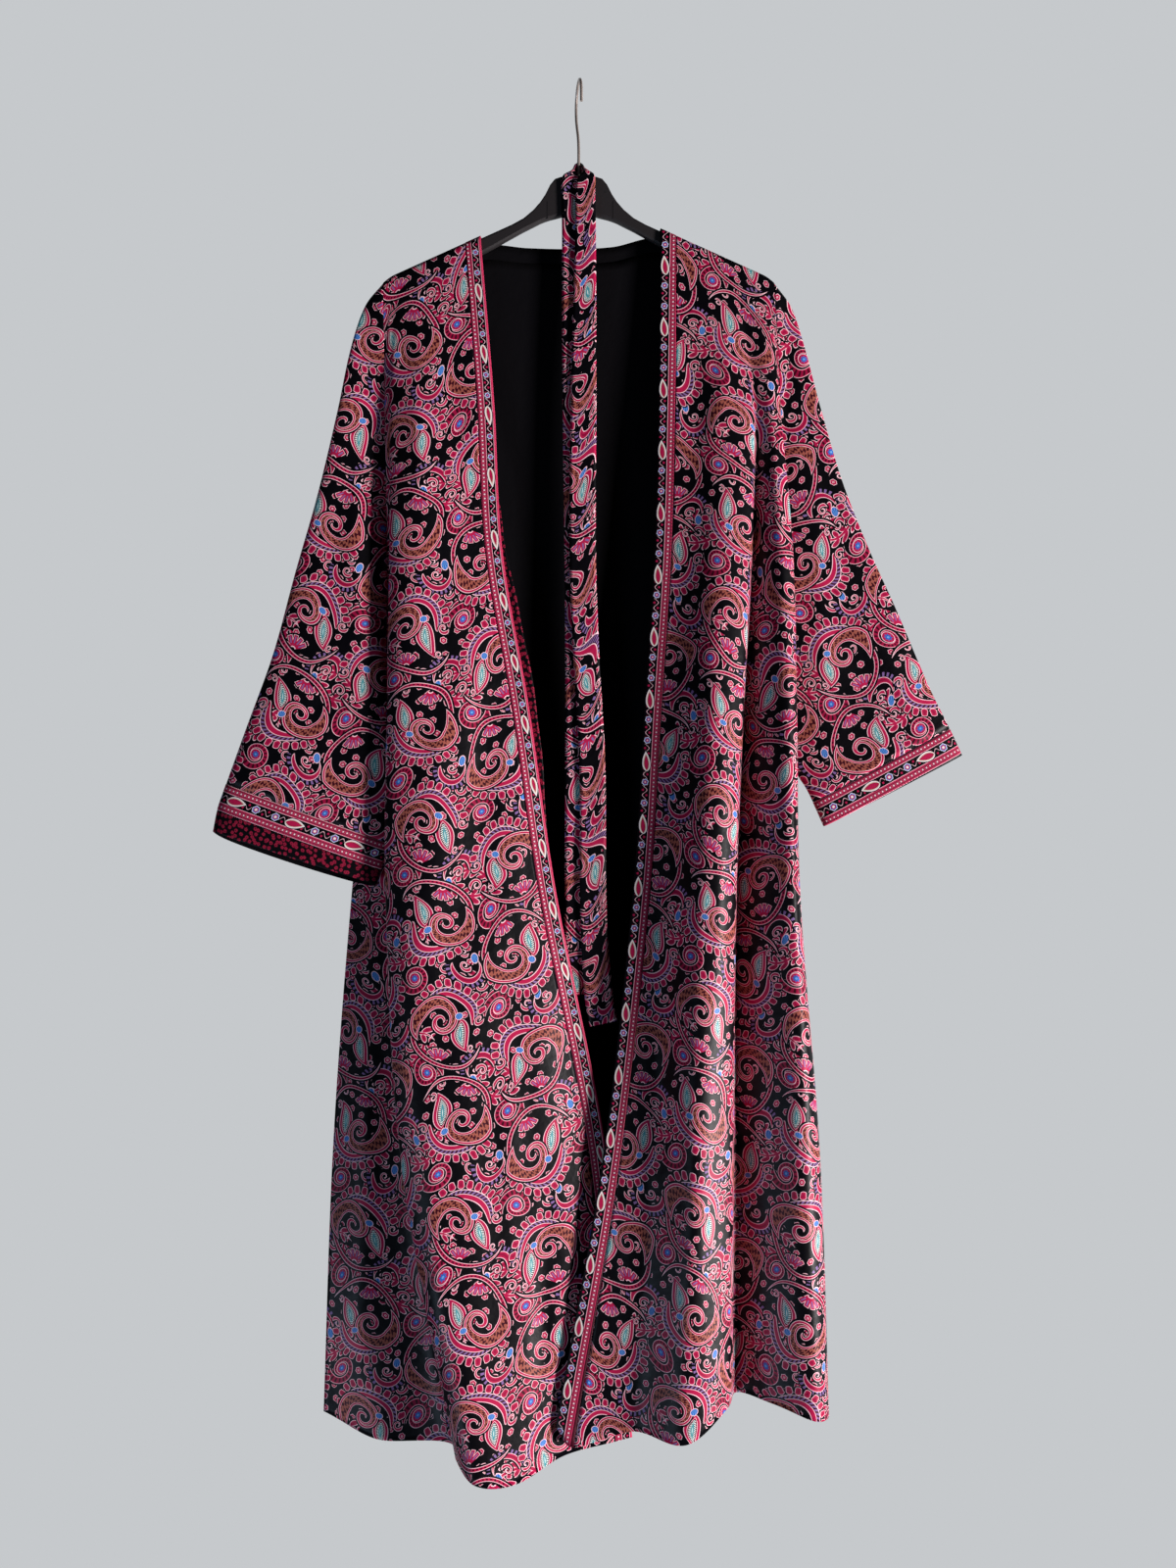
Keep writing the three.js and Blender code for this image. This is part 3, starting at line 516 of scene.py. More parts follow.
floor, fract, sine, root = by("FLOOR"), by("FRACT"), by("SINE"), by("SQRT")
low, high, turned, wrapped = by("MINIMUM"), by("MAXIMUM"), by("ARCTAN2"), by("WRAP")


def between(a, bottom, top):
    return (a > bottom) * (a < top)


def length(x, y):
    return root(x * x + y * y)


def overprint(place, ground, dye):
    """A dye laid over a ground where place is 1. Both are values or hex colours."""
    return Value(add(place.tree, "ShaderNodeMix", {0: place, 6: ground, 7: dye}, data_type="RGBA"), 2)


def banded(distance, bands):
    """Bands of plain colour by a distance. Each is (millimetres at which it starts, hex), rising."""
    start, end = bands[0][0], bands[-1][0]
    node = add(distance.tree, "ShaderNodeValToRGB", {0: (distance - start) / (end - start)})
    node.color_ramp.interpolation = "CONSTANT"
    elements = node.color_ramp.elements
    while len(elements) < len(bands):
        elements.new(0.5)
    for element, (at, colour) in zip(elements, bands):
        element.position = (at - start) / (end - start)
        element.color = linear(colour)
    return Value(node)


# ---- the print ----------------------------------------------------------------------------------
# Lengths are millimetres on the flat cloth. The repeat is a half-drop lattice, and its motifs are
# mirrored from cell to cell. A motif gives layers, each a colour and where it is laid.

REPEAT = (79, 98)
BLACK_DYE = "#050408"
PINK_LINE = "#fbccd4"
RASPBERRY = "#b21a49"
CRIMSON = "#92113a"
MAROON = "#3a0818"
OCHRE = "#9c5548"
LILAC = "#83659a"
TEAL_WHITE = "#dcebe6"
TEAL = "#4c959c"
BLUE = "#2b63b6"
SKY = "#6c9fd8"
STROKE = [(-3, BLACK_DYE), (0, PINK_LINE), (0.55, RASPBERRY), (1.9, CRIMSON), (3, CRIMSON)]
FINE_STROKE = [(-3, BLACK_DYE), (0, PINK_LINE), (0.45, RASPBERRY), (1.5, CRIMSON), (3, CRIMSON)]
COMMA_SCALE = 0.94
NOWHERE = 9  # millimetres taken off a depth to rule a place out


def repeat_cell(u, v, across, down):
    """Place within the lattice cell round (across, down), mirrored from cell to cell."""
    wide, tall = REPEAT
    u, v = u - across, v - down
    column = floor(u / wide + 0.5)
    v = v + fract(column * 0.5) * tall
    row = floor(v / tall + 0.5)
    # the halves' remainders are 0 or 0.5, so these are -1 or 1
    flip = fract((column + row) * 0.5) * 4 - 1
    turn = fract(row * 0.5) * 4 - 1
    return (u - column * wide) * flip, (v - row * tall) * turn


def arc(x, y, centre, radius, start, sweep, half, swell=0.0):
    """A curved stroke in millimetres and degrees: the depth inside it, the share of the way along,
    and the distance out from its middle line. Its far end is tapered, its near end too if it swells."""
    x, y = x - centre[0], y - centre[1]
    t = wrapped(turned(y, x) - math.radians(start), 2 * math.pi, 0) / math.radians(sweep)
    out = length(x, y) - radius
    if swell:
        peak = (swell / (1 + swell)) ** swell / (1 + swell)
        width = (1 - t) * t**swell * (half / peak)
    else:
        width = (1 - t**5) * half
    return width - abs(out) - (t > 1) * NOWHERE, t, out


def curl(x, y, centre, inner, growth, start, end, half):
    """A stroke that curls in, growing by a factor each turn, between two angles in radians: the depth
    inside it, the angle, and the place across it."""
    x, y = x - centre[0], y - centre[1]
    r = high(length(x, y), 0.01)
    b = math.log(growth) / (2 * math.pi)
    theta = turned(y, x)
    turns = (maths("LOGARITHM", r / inner, math.e) / b - theta) / (2 * math.pi)
    arm = floor(turns + 0.5)
    angle, share = theta + arm * (2 * math.pi), turns - arm
    along = (end - angle) * (angle - start) * (12 / (end - start) ** 2)
    pitch = math.log(growth) / math.sqrt(1 + b * b)
    return (low(along, 1) * half - abs(share)) * r * pitch, angle, share


def buds(t, out, count, reach):
    """Pairs of small slanting leaves on both sides of a stroke."""
    side = abs(out)
    along = abs(fract(t * count - side * (0.5 / reach)) - 0.5) * 2.6
    away = abs(side - reach * 0.62) * (1.7 / reach)
    return (1 - length(along, away)) * 2.6 - (t > 0.93) * NOWHERE


def stroke(depth, margin=1.7, dyes=STROKE):
    """The layer of a stroke: crimson, edged with a fine pale line, with a black margin round it."""
    return banded(depth, dyes), depth > -margin


def hook(x, y, centre, inner, growth, start, end, half, margin=1.7):
    return stroke(curl(x, y, centre, inner, growth, start, end, half)[0], margin)


def fan(x, y, reach, rays, edge):
    """A blue fan edged with a pale line, with rays from a point below it."""
    ray = sine(turned(y, x) * rays) > 0.4
    return overprint(reach > edge, overprint(ray, BLUE, SKY), PINK_LINE)


def comma_layers(u, v):
    """The large motif: a curled body with ochre dabs in a toothed crest, with a leaf, a blue fan and a
    stem over its back."""
    x, y = repeat_cell(u, v, 0, 0)
    x, y = x / COMMA_SCALE, y / COMMA_SCALE + 2
    # the stem over the top
    depth, t, out = arc(x, y, (-3, 10), radius=38.5, start=-12, sweep=158, half=2.2)
    bead = (sine(t * 150) > 0.1) * (depth > 1.35)
    stem = overprint(bead, banded(depth, STROKE), MAROON), depth > -1.9
    # a tuft of long petals that hangs from it
    tuft_x, tuft_y = x - 12, y - 42
    reach = length(tuft_x, tuft_y)
    angle = turned(tuft_y, tuft_x)
    side = wrapped(angle + 1.05, 0.23, -0.23)
    depth = low(2.6 - abs(side) * reach, low(15.5 - reach, reach * 0.45 - 1.2))
    depth = depth - (1 - between(angle, -2.66, -0.82)) * NOWHERE
    tuft = stroke(depth, dyes=[(-3, BLACK_DYE), (0, PINK_LINE), (0.5, RASPBERRY), (1.9, LILAC), (3, LILAC)])
    # the leaf: broad crimson border, fine pale line and a feathered eye
    up = (y + 2) / 36
    side = x + 15 + up * up * up * 9 - up * 4
    half = high(up, 0.0001) ** 0.75 * (1 - up) * 32
    depth = (half - abs(side)) * 0.8 - (up < -0.01) * NOWHERE
    feather = sine(y * 3.4 - abs(side) * 1.8) > 0.1
    colour = banded(depth, [
        (-3, BLACK_DYE), (0, PINK_LINE), (0.6, RASPBERRY), (2.9, PINK_LINE), (3.4, CRIMSON),
        (4.3, TEAL_WHITE), (6.2, TEAL), (7.4, TEAL_WHITE), (9, TEAL_WHITE)])
    leaf = overprint(feather * between(depth, 3.4, 6.2), colour, MAROON), depth > -1.9
    leaf_tip = hook(x, y, (-24.5, 30.5), 0.9, 3.0, 1.0, 8.6, 0.32, margin=1.6)
    # the crest: a crimson band, a band of slanting bars, and a row of pads
    depth, t, out = arc(x, y, (0, 0), radius=28.2, start=-196, sweep=208, half=5.0, swell=0.45)
    bar = (sine(t * 150 + out * 1.1) > 0.0) * (out > 0.9) * (depth > 0.7)
    colour = banded(out, [(-6, PINK_LINE), (-4.3, RASPBERRY), (-0.1, PINK_LINE), (0.5, MAROON), (6, MAROON)])
    colour = overprint(depth > 0.55, PINK_LINE, overprint(bar, colour, LILAC))
    beside, beyond = (fract(t * 14) - 0.5) * 9.4, out - 9.3
    pad = low(4.5 - length(beside, beyond), 3.5 - abs(beside) - beyond * 0.2)
    pad = pad - (1 - between(t, 0.072, 0.93)) * NOWHERE
    pads = banded(pad, [(-3, BLACK_DYE), (0, PINK_LINE), (0.55, RASPBERRY), (2.2, CRIMSON), (4, CRIMSON)])
    crest = overprint(depth > -0.2, pads, colour), high(depth > -1.7, pad > -1.3)
    # the curled body, filled with dabs
    depth, angle, share = curl(x, y, (6.9, 0), inner=1.5, growth=4.07, start=2.6, end=13.2, half=0.25)
    dab = sine(angle * 21 + share * 16) * sine(share * 34 + angle * 7) + sine(angle * 42) * 0.25
    colour = banded(depth, [
        (-3, BLACK_DYE), (0, PINK_LINE), (0.55, RASPBERRY), (2.2, PINK_LINE), (2.6, CRIMSON), (6, CRIMSON)])
    body = overprint(depth > 2.6, colour, overprint(dab > -0.1, MAROON, OCHRE)), depth > -1.9
    # the blue fan at the foot of the leaf
    reach = length(x + 12, (y + 5) * 1.2)
    foot = fan(x + 12, y + 9, reach, 18, 3.7), reach < 4.4
    crest_end = hook(x, y, (-34.0, 4.5), 1.1, 3.2, 1.5, 9.2, 0.30)
    return [stem, tuft, leaf, leaf_tip, crest, body, foot, crest_end]


def fringe_layers(u, v):
    """A small hooked paisley with a lilac fringe and a blue heart."""
    x, y = repeat_cell(u, v, 27, 50)
    depth, t, out = arc(x, y, (0, -2), radius=13.5, start=-15, sweep=220, half=2.9, swell=0.6)
    tick = (abs(fract(t * 15) - 0.5) < 0.24) * between(out, 2.8, 6.6) * between(t, 0.04, 0.9)
    fringe = high(depth > -1.7, between(out, 1.7, 7.6) * between(t, 0.03, 0.91))
    reach = length((x + 9.5) * 1.4, y + 9.5)
    return [
        (overprint(tick, banded(depth, STROKE), LILAC), fringe),
        hook(x, y, (1.0, -3.0), 1.0, 3.3, 1.0, 9.3, 0.29),
        (fan(x + 9.5, y + 13, reach, 16, 4.5), reach < 5.3),
    ]


def star_layers(u, v):
    """A beaded stem that curls round a blue star."""
    x, y = repeat_cell(u, v, 53, 2)
    depth, angle, _ = curl(x, y, (0, 0), inner=3.4, growth=2.1, start=3.0, end=13.0, half=0.36)
    bead = (sine(angle * 17) > 0.2) * (depth > 1.2)
    colour = overprint(bead, banded(depth, FINE_STROKE), MAROON)
    r = length(x, y)
    star = r < 3.1 + 0.8 * sine(turned(y, x) * 8)
    ring = banded(r, [(0, RASPBERRY), (5.4, PINK_LINE), (6.0, PINK_LINE)])
    heart = banded(r, [(0, SKY), (1.2, BLUE), (4.5, BLUE)])
    return [(overprint(star, overprint(r < 6.0, colour, ring), heart), high(depth > -1.7, r < 7.0))]


# Between the large motifs, in two cells: (centre, radius, start, sweep, half width, buds) of each loose
# stem, and (centre, inner radius, growth, start, end) of each scroll.
SCROLL_CELLS = [
    ((40, 30),
     [((-6, -8), 24, 20, 150, 1.9, 6.5), ((8, 14), 26, 190, 130, 1.7, 6)],
     [((4, -2), 1.2, 3.0, 1.2, 9.8), ((-24, 26), 1.1, 3.0, 1.0, 9.2)]),
    ((6, 52), [], [((0, 0), 1.3, 2.9, 1.2, 9.6), ((-20, -14), 1.0, 3.1, 1.0, 9.2)]),
]


def scroll_layers(u, v):
    """Loose stems with buds, and hooked scrolls, between the large motifs."""
    layers = []
    for cell, stems, scrolls in SCROLL_CELLS:
        x, y = repeat_cell(u, v, *cell)
        for centre, radius, start, sweep, half, count in stems:
            depth, t, out = arc(x, y, centre, radius, start, sweep, half)
            layers.append(stroke(high(depth, buds(t, out, count, reach=6.6)), 1.5, FINE_STROKE))
        for scroll in scrolls:
            layers.append(hook(x, y, *scroll, half=0.28, margin=1.6))
    return layers


def rosette_layers(u, v, pitch, size):
    """Small round flowers on a staggered lattice of their own."""
    u, v = u / pitch[0], v / pitch[1]
    column = floor(u)
    v = v + fract(column * 0.5)
    x = (u - column - 0.5) * pitch[0] + sine(column * 2.7 + floor(v)) * 1.5
    y = (fract(v) - 0.5) * pitch[1]
    r = length(x, y)
    edge = size + 0.25 * sine(turned(y, x) * 6)
    dyes = [(0, PINK_LINE), (0.5, RASPBERRY), (size - 1.0, PINK_LINE), (size - 0.5, MAROON), (size, CRIMSON)]
    return [(banded(edge - r, dyes), r < edge)]


def paisley_colour(u, v):
    """The whole print. It is drawn by hand, so a slow warp keeps its circles from being true."""
    u, v = u + sine(v / 13 + sine(u / 31)) * 2.4, v + sine(u / 12 + sine(v / 27) * 1.3) * 2.6
    colour = BLACK_DYE
    layers = rosette_layers(u, v, (15.0, 14.0), 3.3)
    for motif in (scroll_layers, star_layers, fringe_layers, comma_layers):
        layers += motif(u, v)
    for shade, place in layers:
        colour = overprint(place, colour, shade)
    return colour


# ---- the border prints --------------------------------------------------------------------------

BORDER_SAND = "#d9c4b2"
BORDER_PALE = "#efe6e6"
BORDER_RED = "#bc3458"
ROSE_EDGE = "#d6d8ea"
BORDER_PITCH = 21.0  # from one drop or rose to the next
SPRIG_PITCH = 10.5
SQUARE_PITCH = 4.2
SQUARE = 1.3  # half the width of a chain's squares


def border_colour(across, down, stripes, strip_at, strip_half, chains):
    """A border print: lengthwise stripes, a dark strip with drops, roses and sprigs in it, and chains
    of small squares between fine lines."""
    colour = banded(across, stripes)
    x = across - strip_at
    place = down / BORDER_PITCH
    kind = fract((floor(place) + 0.5) / 3) * 3
    y = (fract(place) - 0.5) * BORDER_PITCH
    # sprigs wind along the strip under the rest
    wind = sine(down * (2 * math.pi / SPRIG_PITCH)) * strip_half
    bud = length(x + wind * 0.5, (fract(down / (SPRIG_PITCH / 2)) - 0.5) * (SPRIG_PITCH / 2))
    colour = overprint((abs(x - wind * 0.55) < 0.3) * (abs(x) < strip_half), colour, PINK_LINE)
    colour = overprint(bud < 1.15, colour, RASPBERRY)
    # a long drop with a crimson heart
    t = high(low((y + 10) / 20, 1), 0.0001)
    drop = strip_half * 3.0 * t**0.6 * (1 - t) - abs(x + y * 0.1)
    colour = overprint((drop > -0.8) * (kind < 1), colour, banded(drop, [
        (-0.8, BLACK_DYE), (0, BORDER_PALE), (1.0, BORDER_SAND), (1.9, CRIMSON), (2.6, RASPBERRY),
        (4, RASPBERRY)]))
    # a round rose
    rose = strip_half * 0.82 + 0.3 * sine(turned(x, y) * 6) - length(x, y)
    colour = overprint((rose > -0.7) * (kind > 1), colour, banded(rose, [
        (-0.7, BLACK_DYE), (0, ROSE_EDGE), (0.7, BLUE), (1.5, RASPBERRY), (2.6, BORDER_PALE),
        (3.6, BORDER_PALE)]))
    for at in chains:
        square = high(abs(across - at), abs(fract(down / SQUARE_PITCH) - 0.5) * SQUARE_PITCH)
        line = abs(abs(across - at) - SQUARE - 0.9) < 0.3
        colour = overprint(high(line, between(square, SQUARE - 0.5, SQUARE)), colour, MAROON)
        colour = overprint(square < SQUARE - 0.5, colour, PINK_LINE)
    return colour


def right_border_colour(across, down):
    stripes = [
        (0, BORDER_RED), (2.2, PINK_LINE), (2.6, BLACK_DYE), (10.0, PINK_LINE), (10.4, BORDER_RED),
        (17.2, MAROON), (18, MAROON)]
    return border_colour(across, -down, stripes, strip_at=6.3, strip_half=3.4, chains=[13.8])


def left_border_colour(across, down):
    stripes = [(0, BLACK_DYE), (9.8, PINK_LINE), (10.2, BORDER_RED), (17.2, MAROON), (18, MAROON)]
    return border_colour(across, down, stripes, strip_at=5.0, strip_half=4.0, chains=[13.7])


def cuff_border_colour(across, down):
    stripes = [
        (0, PINK_LINE), (0.4, BORDER_RED), (7.7, PINK_LINE), (8.1, BLACK_DYE), (18.7, PINK_LINE),
        (19.1, BORDER_RED), (27.0, PINK_LINE), (27.4, BLACK_DYE), (34, BLACK_DYE)]
    return border_colour(across, down, stripes, strip_at=13.4, strip_half=4.8, chains=[4.1, 23.1])


FACING_RED = "#8e1a36"
BLOSSOM_PITCH = 5.2


def facing_colour(across, down):
    """Black with small crimson blossoms close together."""
    place = Value(add(across.tree, "ShaderNodeCombineXYZ", {0: across, 1: down}))
    cells = add(across.tree, "ShaderNodeTexVoronoi",
                {"Vector": place, "Scale": 1 / BLOSSOM_PITCH, "Randomness": 0.85}, voronoi_dimensions="2D")
    lobed = Value(cells, "Distance") + 0.07 * sine(across * 2.3 + down) * sine(down * 2.6 - across)
    return banded(lobed * BLOSSOM_PITCH, [
        (0, BLACK_DYE), (0.4, FACING_RED), (1.7, MAROON), (2.1, BLACK_DYE), (5, BLACK_DYE)])


# ---- materials ----------------------------------------------------------------------------------

THREAD_PITCH = 0.55  # real warp and weft are 0.3 mm apart, drawn as close as a near view holds
THREAD_HEIGHT = 0.05
SLUB_SCALE = 0.09  # uneven yarn swells about every 11 mm
SLUB_HEIGHT = 2.2
WEAVE_RELIEF = 0.25
CLOTH_GLOSS = 0.13  # specular level
GRAIN_DEPTH = 0.3 * MM
GRAIN_DULLING = 0.12  # how far the roughness of moulded plastic or wire wanders


def new_material(name, surface):
    """A material of the shader node that surface(tree) adds."""
    material = bpy.data.materials.new(name)
    material.use_nodes = True
    tree = material.node_tree
    tree.nodes.clear()
    add(tree, "ShaderNodeOutputMaterial", {"Surface": Value(surface(tree))})
    return material


def cloth_material(name, colour_of, roughness=0.42, sheen=0.0, sheen_tint="#d8c8e0"):
    """A woven cloth. colour_of(across, down) gives its colour, in millimetres of the cut."""
    def surface(tree):
        cut = Value(add(tree, "ShaderNodeUVMap", uv_map="Cut"))
        parts = add(tree, "ShaderNodeSeparateXYZ", {0: cut})
        across, down = Value(parts, 0), Value(parts, 1)
        threads = [sine(along * (2 * math.pi / THREAD_PITCH)) * 0.5 for along in (across, down)]
        slub = Value(add(tree, "ShaderNodeTexNoise", {"Vector": cut, "Scale": SLUB_SCALE, "Detail": 3.0}))
        height = (threads[0] + threads[1]) * THREAD_HEIGHT + slub * SLUB_HEIGHT
        relief = add(tree, "ShaderNodeBump", {"Strength": WEAVE_RELIEF, "Distance": MM, "Height": height})
        return add(tree, "ShaderNodeBsdfPrincipled", {
            "Base Color": colour_of(across, down), "Roughness": roughness, "Normal": Value(relief),
            "Sheen Weight": sheen, "Sheen Roughness": 0.35, "Sheen Tint": sheen_tint,
            "Specular IOR Level": CLOTH_GLOSS})

    return new_material(name, surface)


def solid_material(name, hex_colour, roughness, metallic, grain, bump):
    """Moulded plastic or drawn wire, with a fine grain of so many specks to the metre."""
    def surface(tree):
        place = Value(add(tree, "ShaderNodeTexCoord"), "Object")
        speck = Value(add(tree, "ShaderNodeTexNoise", {"Vector": place, "Scale": grain, "Detail": 4.0}))
        relief = add(tree, "ShaderNodeBump", {"Strength": bump, "Distance": GRAIN_DEPTH, "Height": speck})
        return add(tree, "ShaderNodeBsdfPrincipled", {
            "Base Color": hex_colour, "Metallic": metallic, "Normal": Value(relief),
            "Roughness": roughness + (speck - 0.5) * GRAIN_DULLING})

    return new_material(name, surface)


# viscose satin, woven and printed: its long floats give a soft gloss that follows the folds
printed_satin = cloth_material("PrintedSatin", paisley_colour)
# the same satin in doubled bands, printed in rows: reads as pale lines along red and black stripes
right_border = cloth_material("RightBorder", right_border_colour)
left_border = cloth_material("LeftBorder", left_border_colour)
cuff_border = cloth_material("CuffBorder", cuff_border_colour)
# plain-woven printed cotton: duller than the satin, with the least bloom of fibre
facing_print = cloth_material("FacingPrint", facing_colour, roughness=0.5, sheen=0.02)
# plain-woven black viscose lining: takes almost no light
black_lining = cloth_material(
    "BlackLining", lambda across, down: "#020104", roughness=0.9, sheen_tint="#303038")
# spun polyester sewing thread, dyed dark: the eye finds it by the row of its bumps
sewing_thread = cloth_material(
    "SewingThread", lambda across, down: "#2a0d18", roughness=0.6, sheen=0.1, sheen_tint="#806068")
# moulded black polystyrene: slightly matt, with a grain that breaks up its highlights
hanger_plastic = solid_material("HangerPlastic", "#262324", 0.42, 0.0, 900.0, 0.25)
# drawn steel wire, plated: a dull gleam along its bend
hook_steel = solid_material("HookSteel", "#a89b92", 0.34, 0.45, 1400.0, 0.1)
# painted shade: the shaded bottom of a moulded hole, drawn as a near-black disc on the hanger's face,
# without a gloss
hole_shade = solid_material("HoleShade", "#030303", 0.9, 0.0, 900.0, 0.0)


# ---- the robe's body ----------------------------------------------------------------------------

FRONT_RUMPLE = 1.2  # how deep the small waves are, in millimetres
BACK_RUMPLE = 1.0
SLEEVE_RUMPLE = 0.5
FACING_ROWS = 60
FACING_COLUMNS = 9
FACING_TUCK = 6  # how far the edge's facing reaches in behind its band
FACING_WAVER = 0.5
WAIST = 3  # its place among a line's x and y

# x and z of a crease's two ends, its width, and how far it moves the cloth, negative to the front
RIGHT_CREASES = [
    (-30, -1110, -40, -1330, 9, 2.5), (-135, -240, -120, -420, 12, 1.6),
    (-165, -270, -150, -520, 10, -1.5), (-100, -620, -92, -900, 14, 1.8),
    (-70, -960, -64, -1250, 12, -2.0), (-150, -1000, -135, -1300, 12, -2.2),
    (-128, -620, -150, -760, 10, -1.6), (-190, -250, -150, -330, 9, 1.4),
    (-220, -930, -226, -1340, 14, -3.0),
]
LEFT_CREASES = [
    (84, -915, 78, -1120, 9, 2.5), (188, -335, 180, -480, 10, 2.0), (110, -220, 120, -430, 12, 1.5),
    (160, -240, 130, -400, 10, -1.5), (90, -560, 92, -800, 14, -1.8), (100, -1040, 96, -1290, 11, 2.2),
    (60, -1050, 40, -1330, 12, -1.8), (140, -700, 138, -960, 9, -1.6), (222, -900, 240, -1300, 12, 2.0),
]
BACK_CREASES = [
    (-120, -230, -60, -420, 14, 1.8), (110, -230, 60, -420, 14, 1.8), (-150, -500, -160, -900, 14, -2.2),
    (40, -520, 36, -1000, 13, 2.2), (-40, -700, -44, -1200, 13, 2.0), (140, -600, 150, -1100, 14, 2.0),
]
RIGHT_SLEEVE_CREASES = [
    (-215, -300, -270, -620, 12, 1.6), (-205, -560, -300, -690, 10, 1.4), (-230, -420, -215, -640, 9, -1.4),
    (-300, -600, -330, -740, 10, -1.2), (-250, -500, -240, -760, 12, 1.6),
]
LEFT_SLEEVE_CREASES = [
    (220, -300, 290, -560, 12, 1.6), (215, -520, 330, -650, 10, 1.4), (240, -420, 250, -640, 9, -1.2),
    (300, -560, 350, -680, 10, -1.2),
]


def from_edge(strip):
    """Millimetres out from a band's free edge, its first column, and up from the top along it."""
    edge = strip[:, 0]
    run = np.diff(edge, axis=0)
    size = np.linalg.norm(run, axis=1)
    to = strip[:, :, None] - edge[None, None, :-1]
    share = (to * run).sum(axis=3) / size**2
    share[:, :, 1:] = np.maximum(share[:, :, 1:], 0)
    share[:, :, :-1] = np.minimum(share[:, :, :-1], 1)
    away = np.linalg.norm(to - share[..., None] * run, axis=3)
    along = np.concatenate([[0], np.cumsum(size)[:-1]]) + share * size
    nearest = away.argmin(axis=2)[..., None]
    return np.stack([np.take_along_axis(table, nearest, axis=2)[..., 0] for table in (away, -along)], axis=2)


def front(lines, creases, seed, outward, name, border):
    """A front and its border band. Outward is -1 on the wearer's right and 1 on the left."""
    flip = outward > 0
    grid = rumple(crease(front_grid(lines), creases), seed, FRONT_RUMPLE)
    columns = grid_places(lines, FINE_ACROSS)
    seam = columns["seam"]
    cut = cut_map(grid, columns["middle"])
    # the print starts from where the middle line is at the waist
    middle = next(line for line in lines if line.name == "middle")
    cut[..., 0] = middle.x[WAIST] + outward * cut[..., 0]
    panel = shell("front_" + name, shrink(grid[:, seam:], "first_column", "first_row"), cut[:, seam:],
                  CLOTH, printed_satin, black_lining, hem_extra=HEM_EXTRA, flip=flip)
    strip = grid[:, : seam + 1]
    band = shell("band_" + name, shrink(strip, "last_column", "first_row"), from_edge(strip),
                 BAND_WALL, border, facing_print, flip=flip)
    return grid, panel, band


def folded_back(grid):
    return rumple(crease(grid, BACK_CREASES), seed=5, amount=BACK_RUMPLE)


def lined_back():
    """The back panel, and its lining between the outermost folds."""
    shares = row_shares(BACK)
    neck = (RIGHT_FRONT[0].x[0], LEFT_FRONT[0].x[0])
    grid = folded_back(meet_shoulder(body_grid(BACK, shares), neck))
    cut = cut_map(grid, grid.shape[1] // 2) * (-1, 1)
    panel = shell("back", shrink(grid, "first_row"), cut, CLOTH, printed_satin, black_lining)
    inner = folded_back(body_grid(BACK, [s for s in shares if LINING_SHARE[0] <= s < LINING_SHARE[1]]))
    inner = inner - normals(inner) * (CLOTH / 2 + LINING_BACK + LINING_WALL / 2)
    columns = grid_places(BACK, FINE_ACROSS)
    inner = inner[:, columns["rightFold"] : columns["leftFold"] + 1]
    lining = shell("back_lining", inner, cut_map(inner), LINING_WALL, black_lining, black_lining)
    return grid, panel, lining


def edge_facing():
    """The strip of facing that rolls out past the right front's edge."""
    shares, reaches = np.array(EDGE_FACING).T
    rows = []
    for share in np.linspace(shares[0], shares[-1], FACING_ROWS):
        x, y, z = line_at(RIGHT_FRONT[0], share)
        behind = y + BAND_WALL / 2 + GAP + FACING_WALL / 2
        reach = smooth(shares, reaches, [share])[0] + FACING_WAVER * math.sin(share * 90)
        outs = np.linspace(-FACING_TUCK, reach, FACING_COLUMNS)
        rows.append([(x + out, behind - out * 0.1, z) for out in outs])
    grid = np.array(rows)
    return shell("facing_right", grid, cut_map(grid), FACING_WALL, facing_print, facing_print)


right_grid, front_right, band_right = front(
    RIGHT_FRONT, RIGHT_CREASES, seed=3, outward=-1, name="right", border=right_border)
left_grid, front_left, band_left = front(
    LEFT_FRONT, LEFT_CREASES, seed=8, outward=1, name="left", border=left_border)
back_grid, back, back_lining = lined_back()
facing_right = edge_facing()


# ---- sleeves ------------------------------------------------------------------------------------

UNDERARM_TUCK = 3.2  # how much further in a sleeve's edge is at the underarm, under the body's
TUBE_FULL_AT = 0.309  # sine of the angle past a fold at which an armhole is open to its full depth


def round_sleeve():
    """Angles round a sleeve from its outer fold, and the share of the way to its inner fold."""
    for k in range(RING_POINTS):
        angle = 2 * math.pi * k / RING_POINTS
        yield angle, (1 - math.cos(angle)) / 2


def armhole(front_line, back_line, outward):
    """The ring at which a sleeve starts, on the body's side seam."""
    top = shoulder_z(front_line.x[0])
    ring = []
    for k, (angle, share) in enumerate(round_sleeve()):
        z = top + (UNDERARM_Z - top) * share
        line = front_line if k <= RING_POINTS // 2 else back_line
        x, y, _ = line_at_height(line, min(z, line_top(front_line)))
        opened = min(1.0, abs(math.sin(angle)) / TUBE_FULL_AT)
        ring.append([x + outward * (GAP - UNDERARM_TUCK * share**3), y * opened, z])
    return np.array(ring)


def sleeve_ring(row):
    ring = []
    for angle, share in round_sleeve():
        side = math.sin(angle)
        layer = math.copysign(abs(side) ** LAYER_FULLNESS, side)
        x, z = (outer + (inner - outer) * share for outer, inner in zip(row.outer, row.inner))
        ring.append([x, row.y - row.depth * layer, z - row.back_drop * max(0.0, -layer)])
    return np.array(ring)


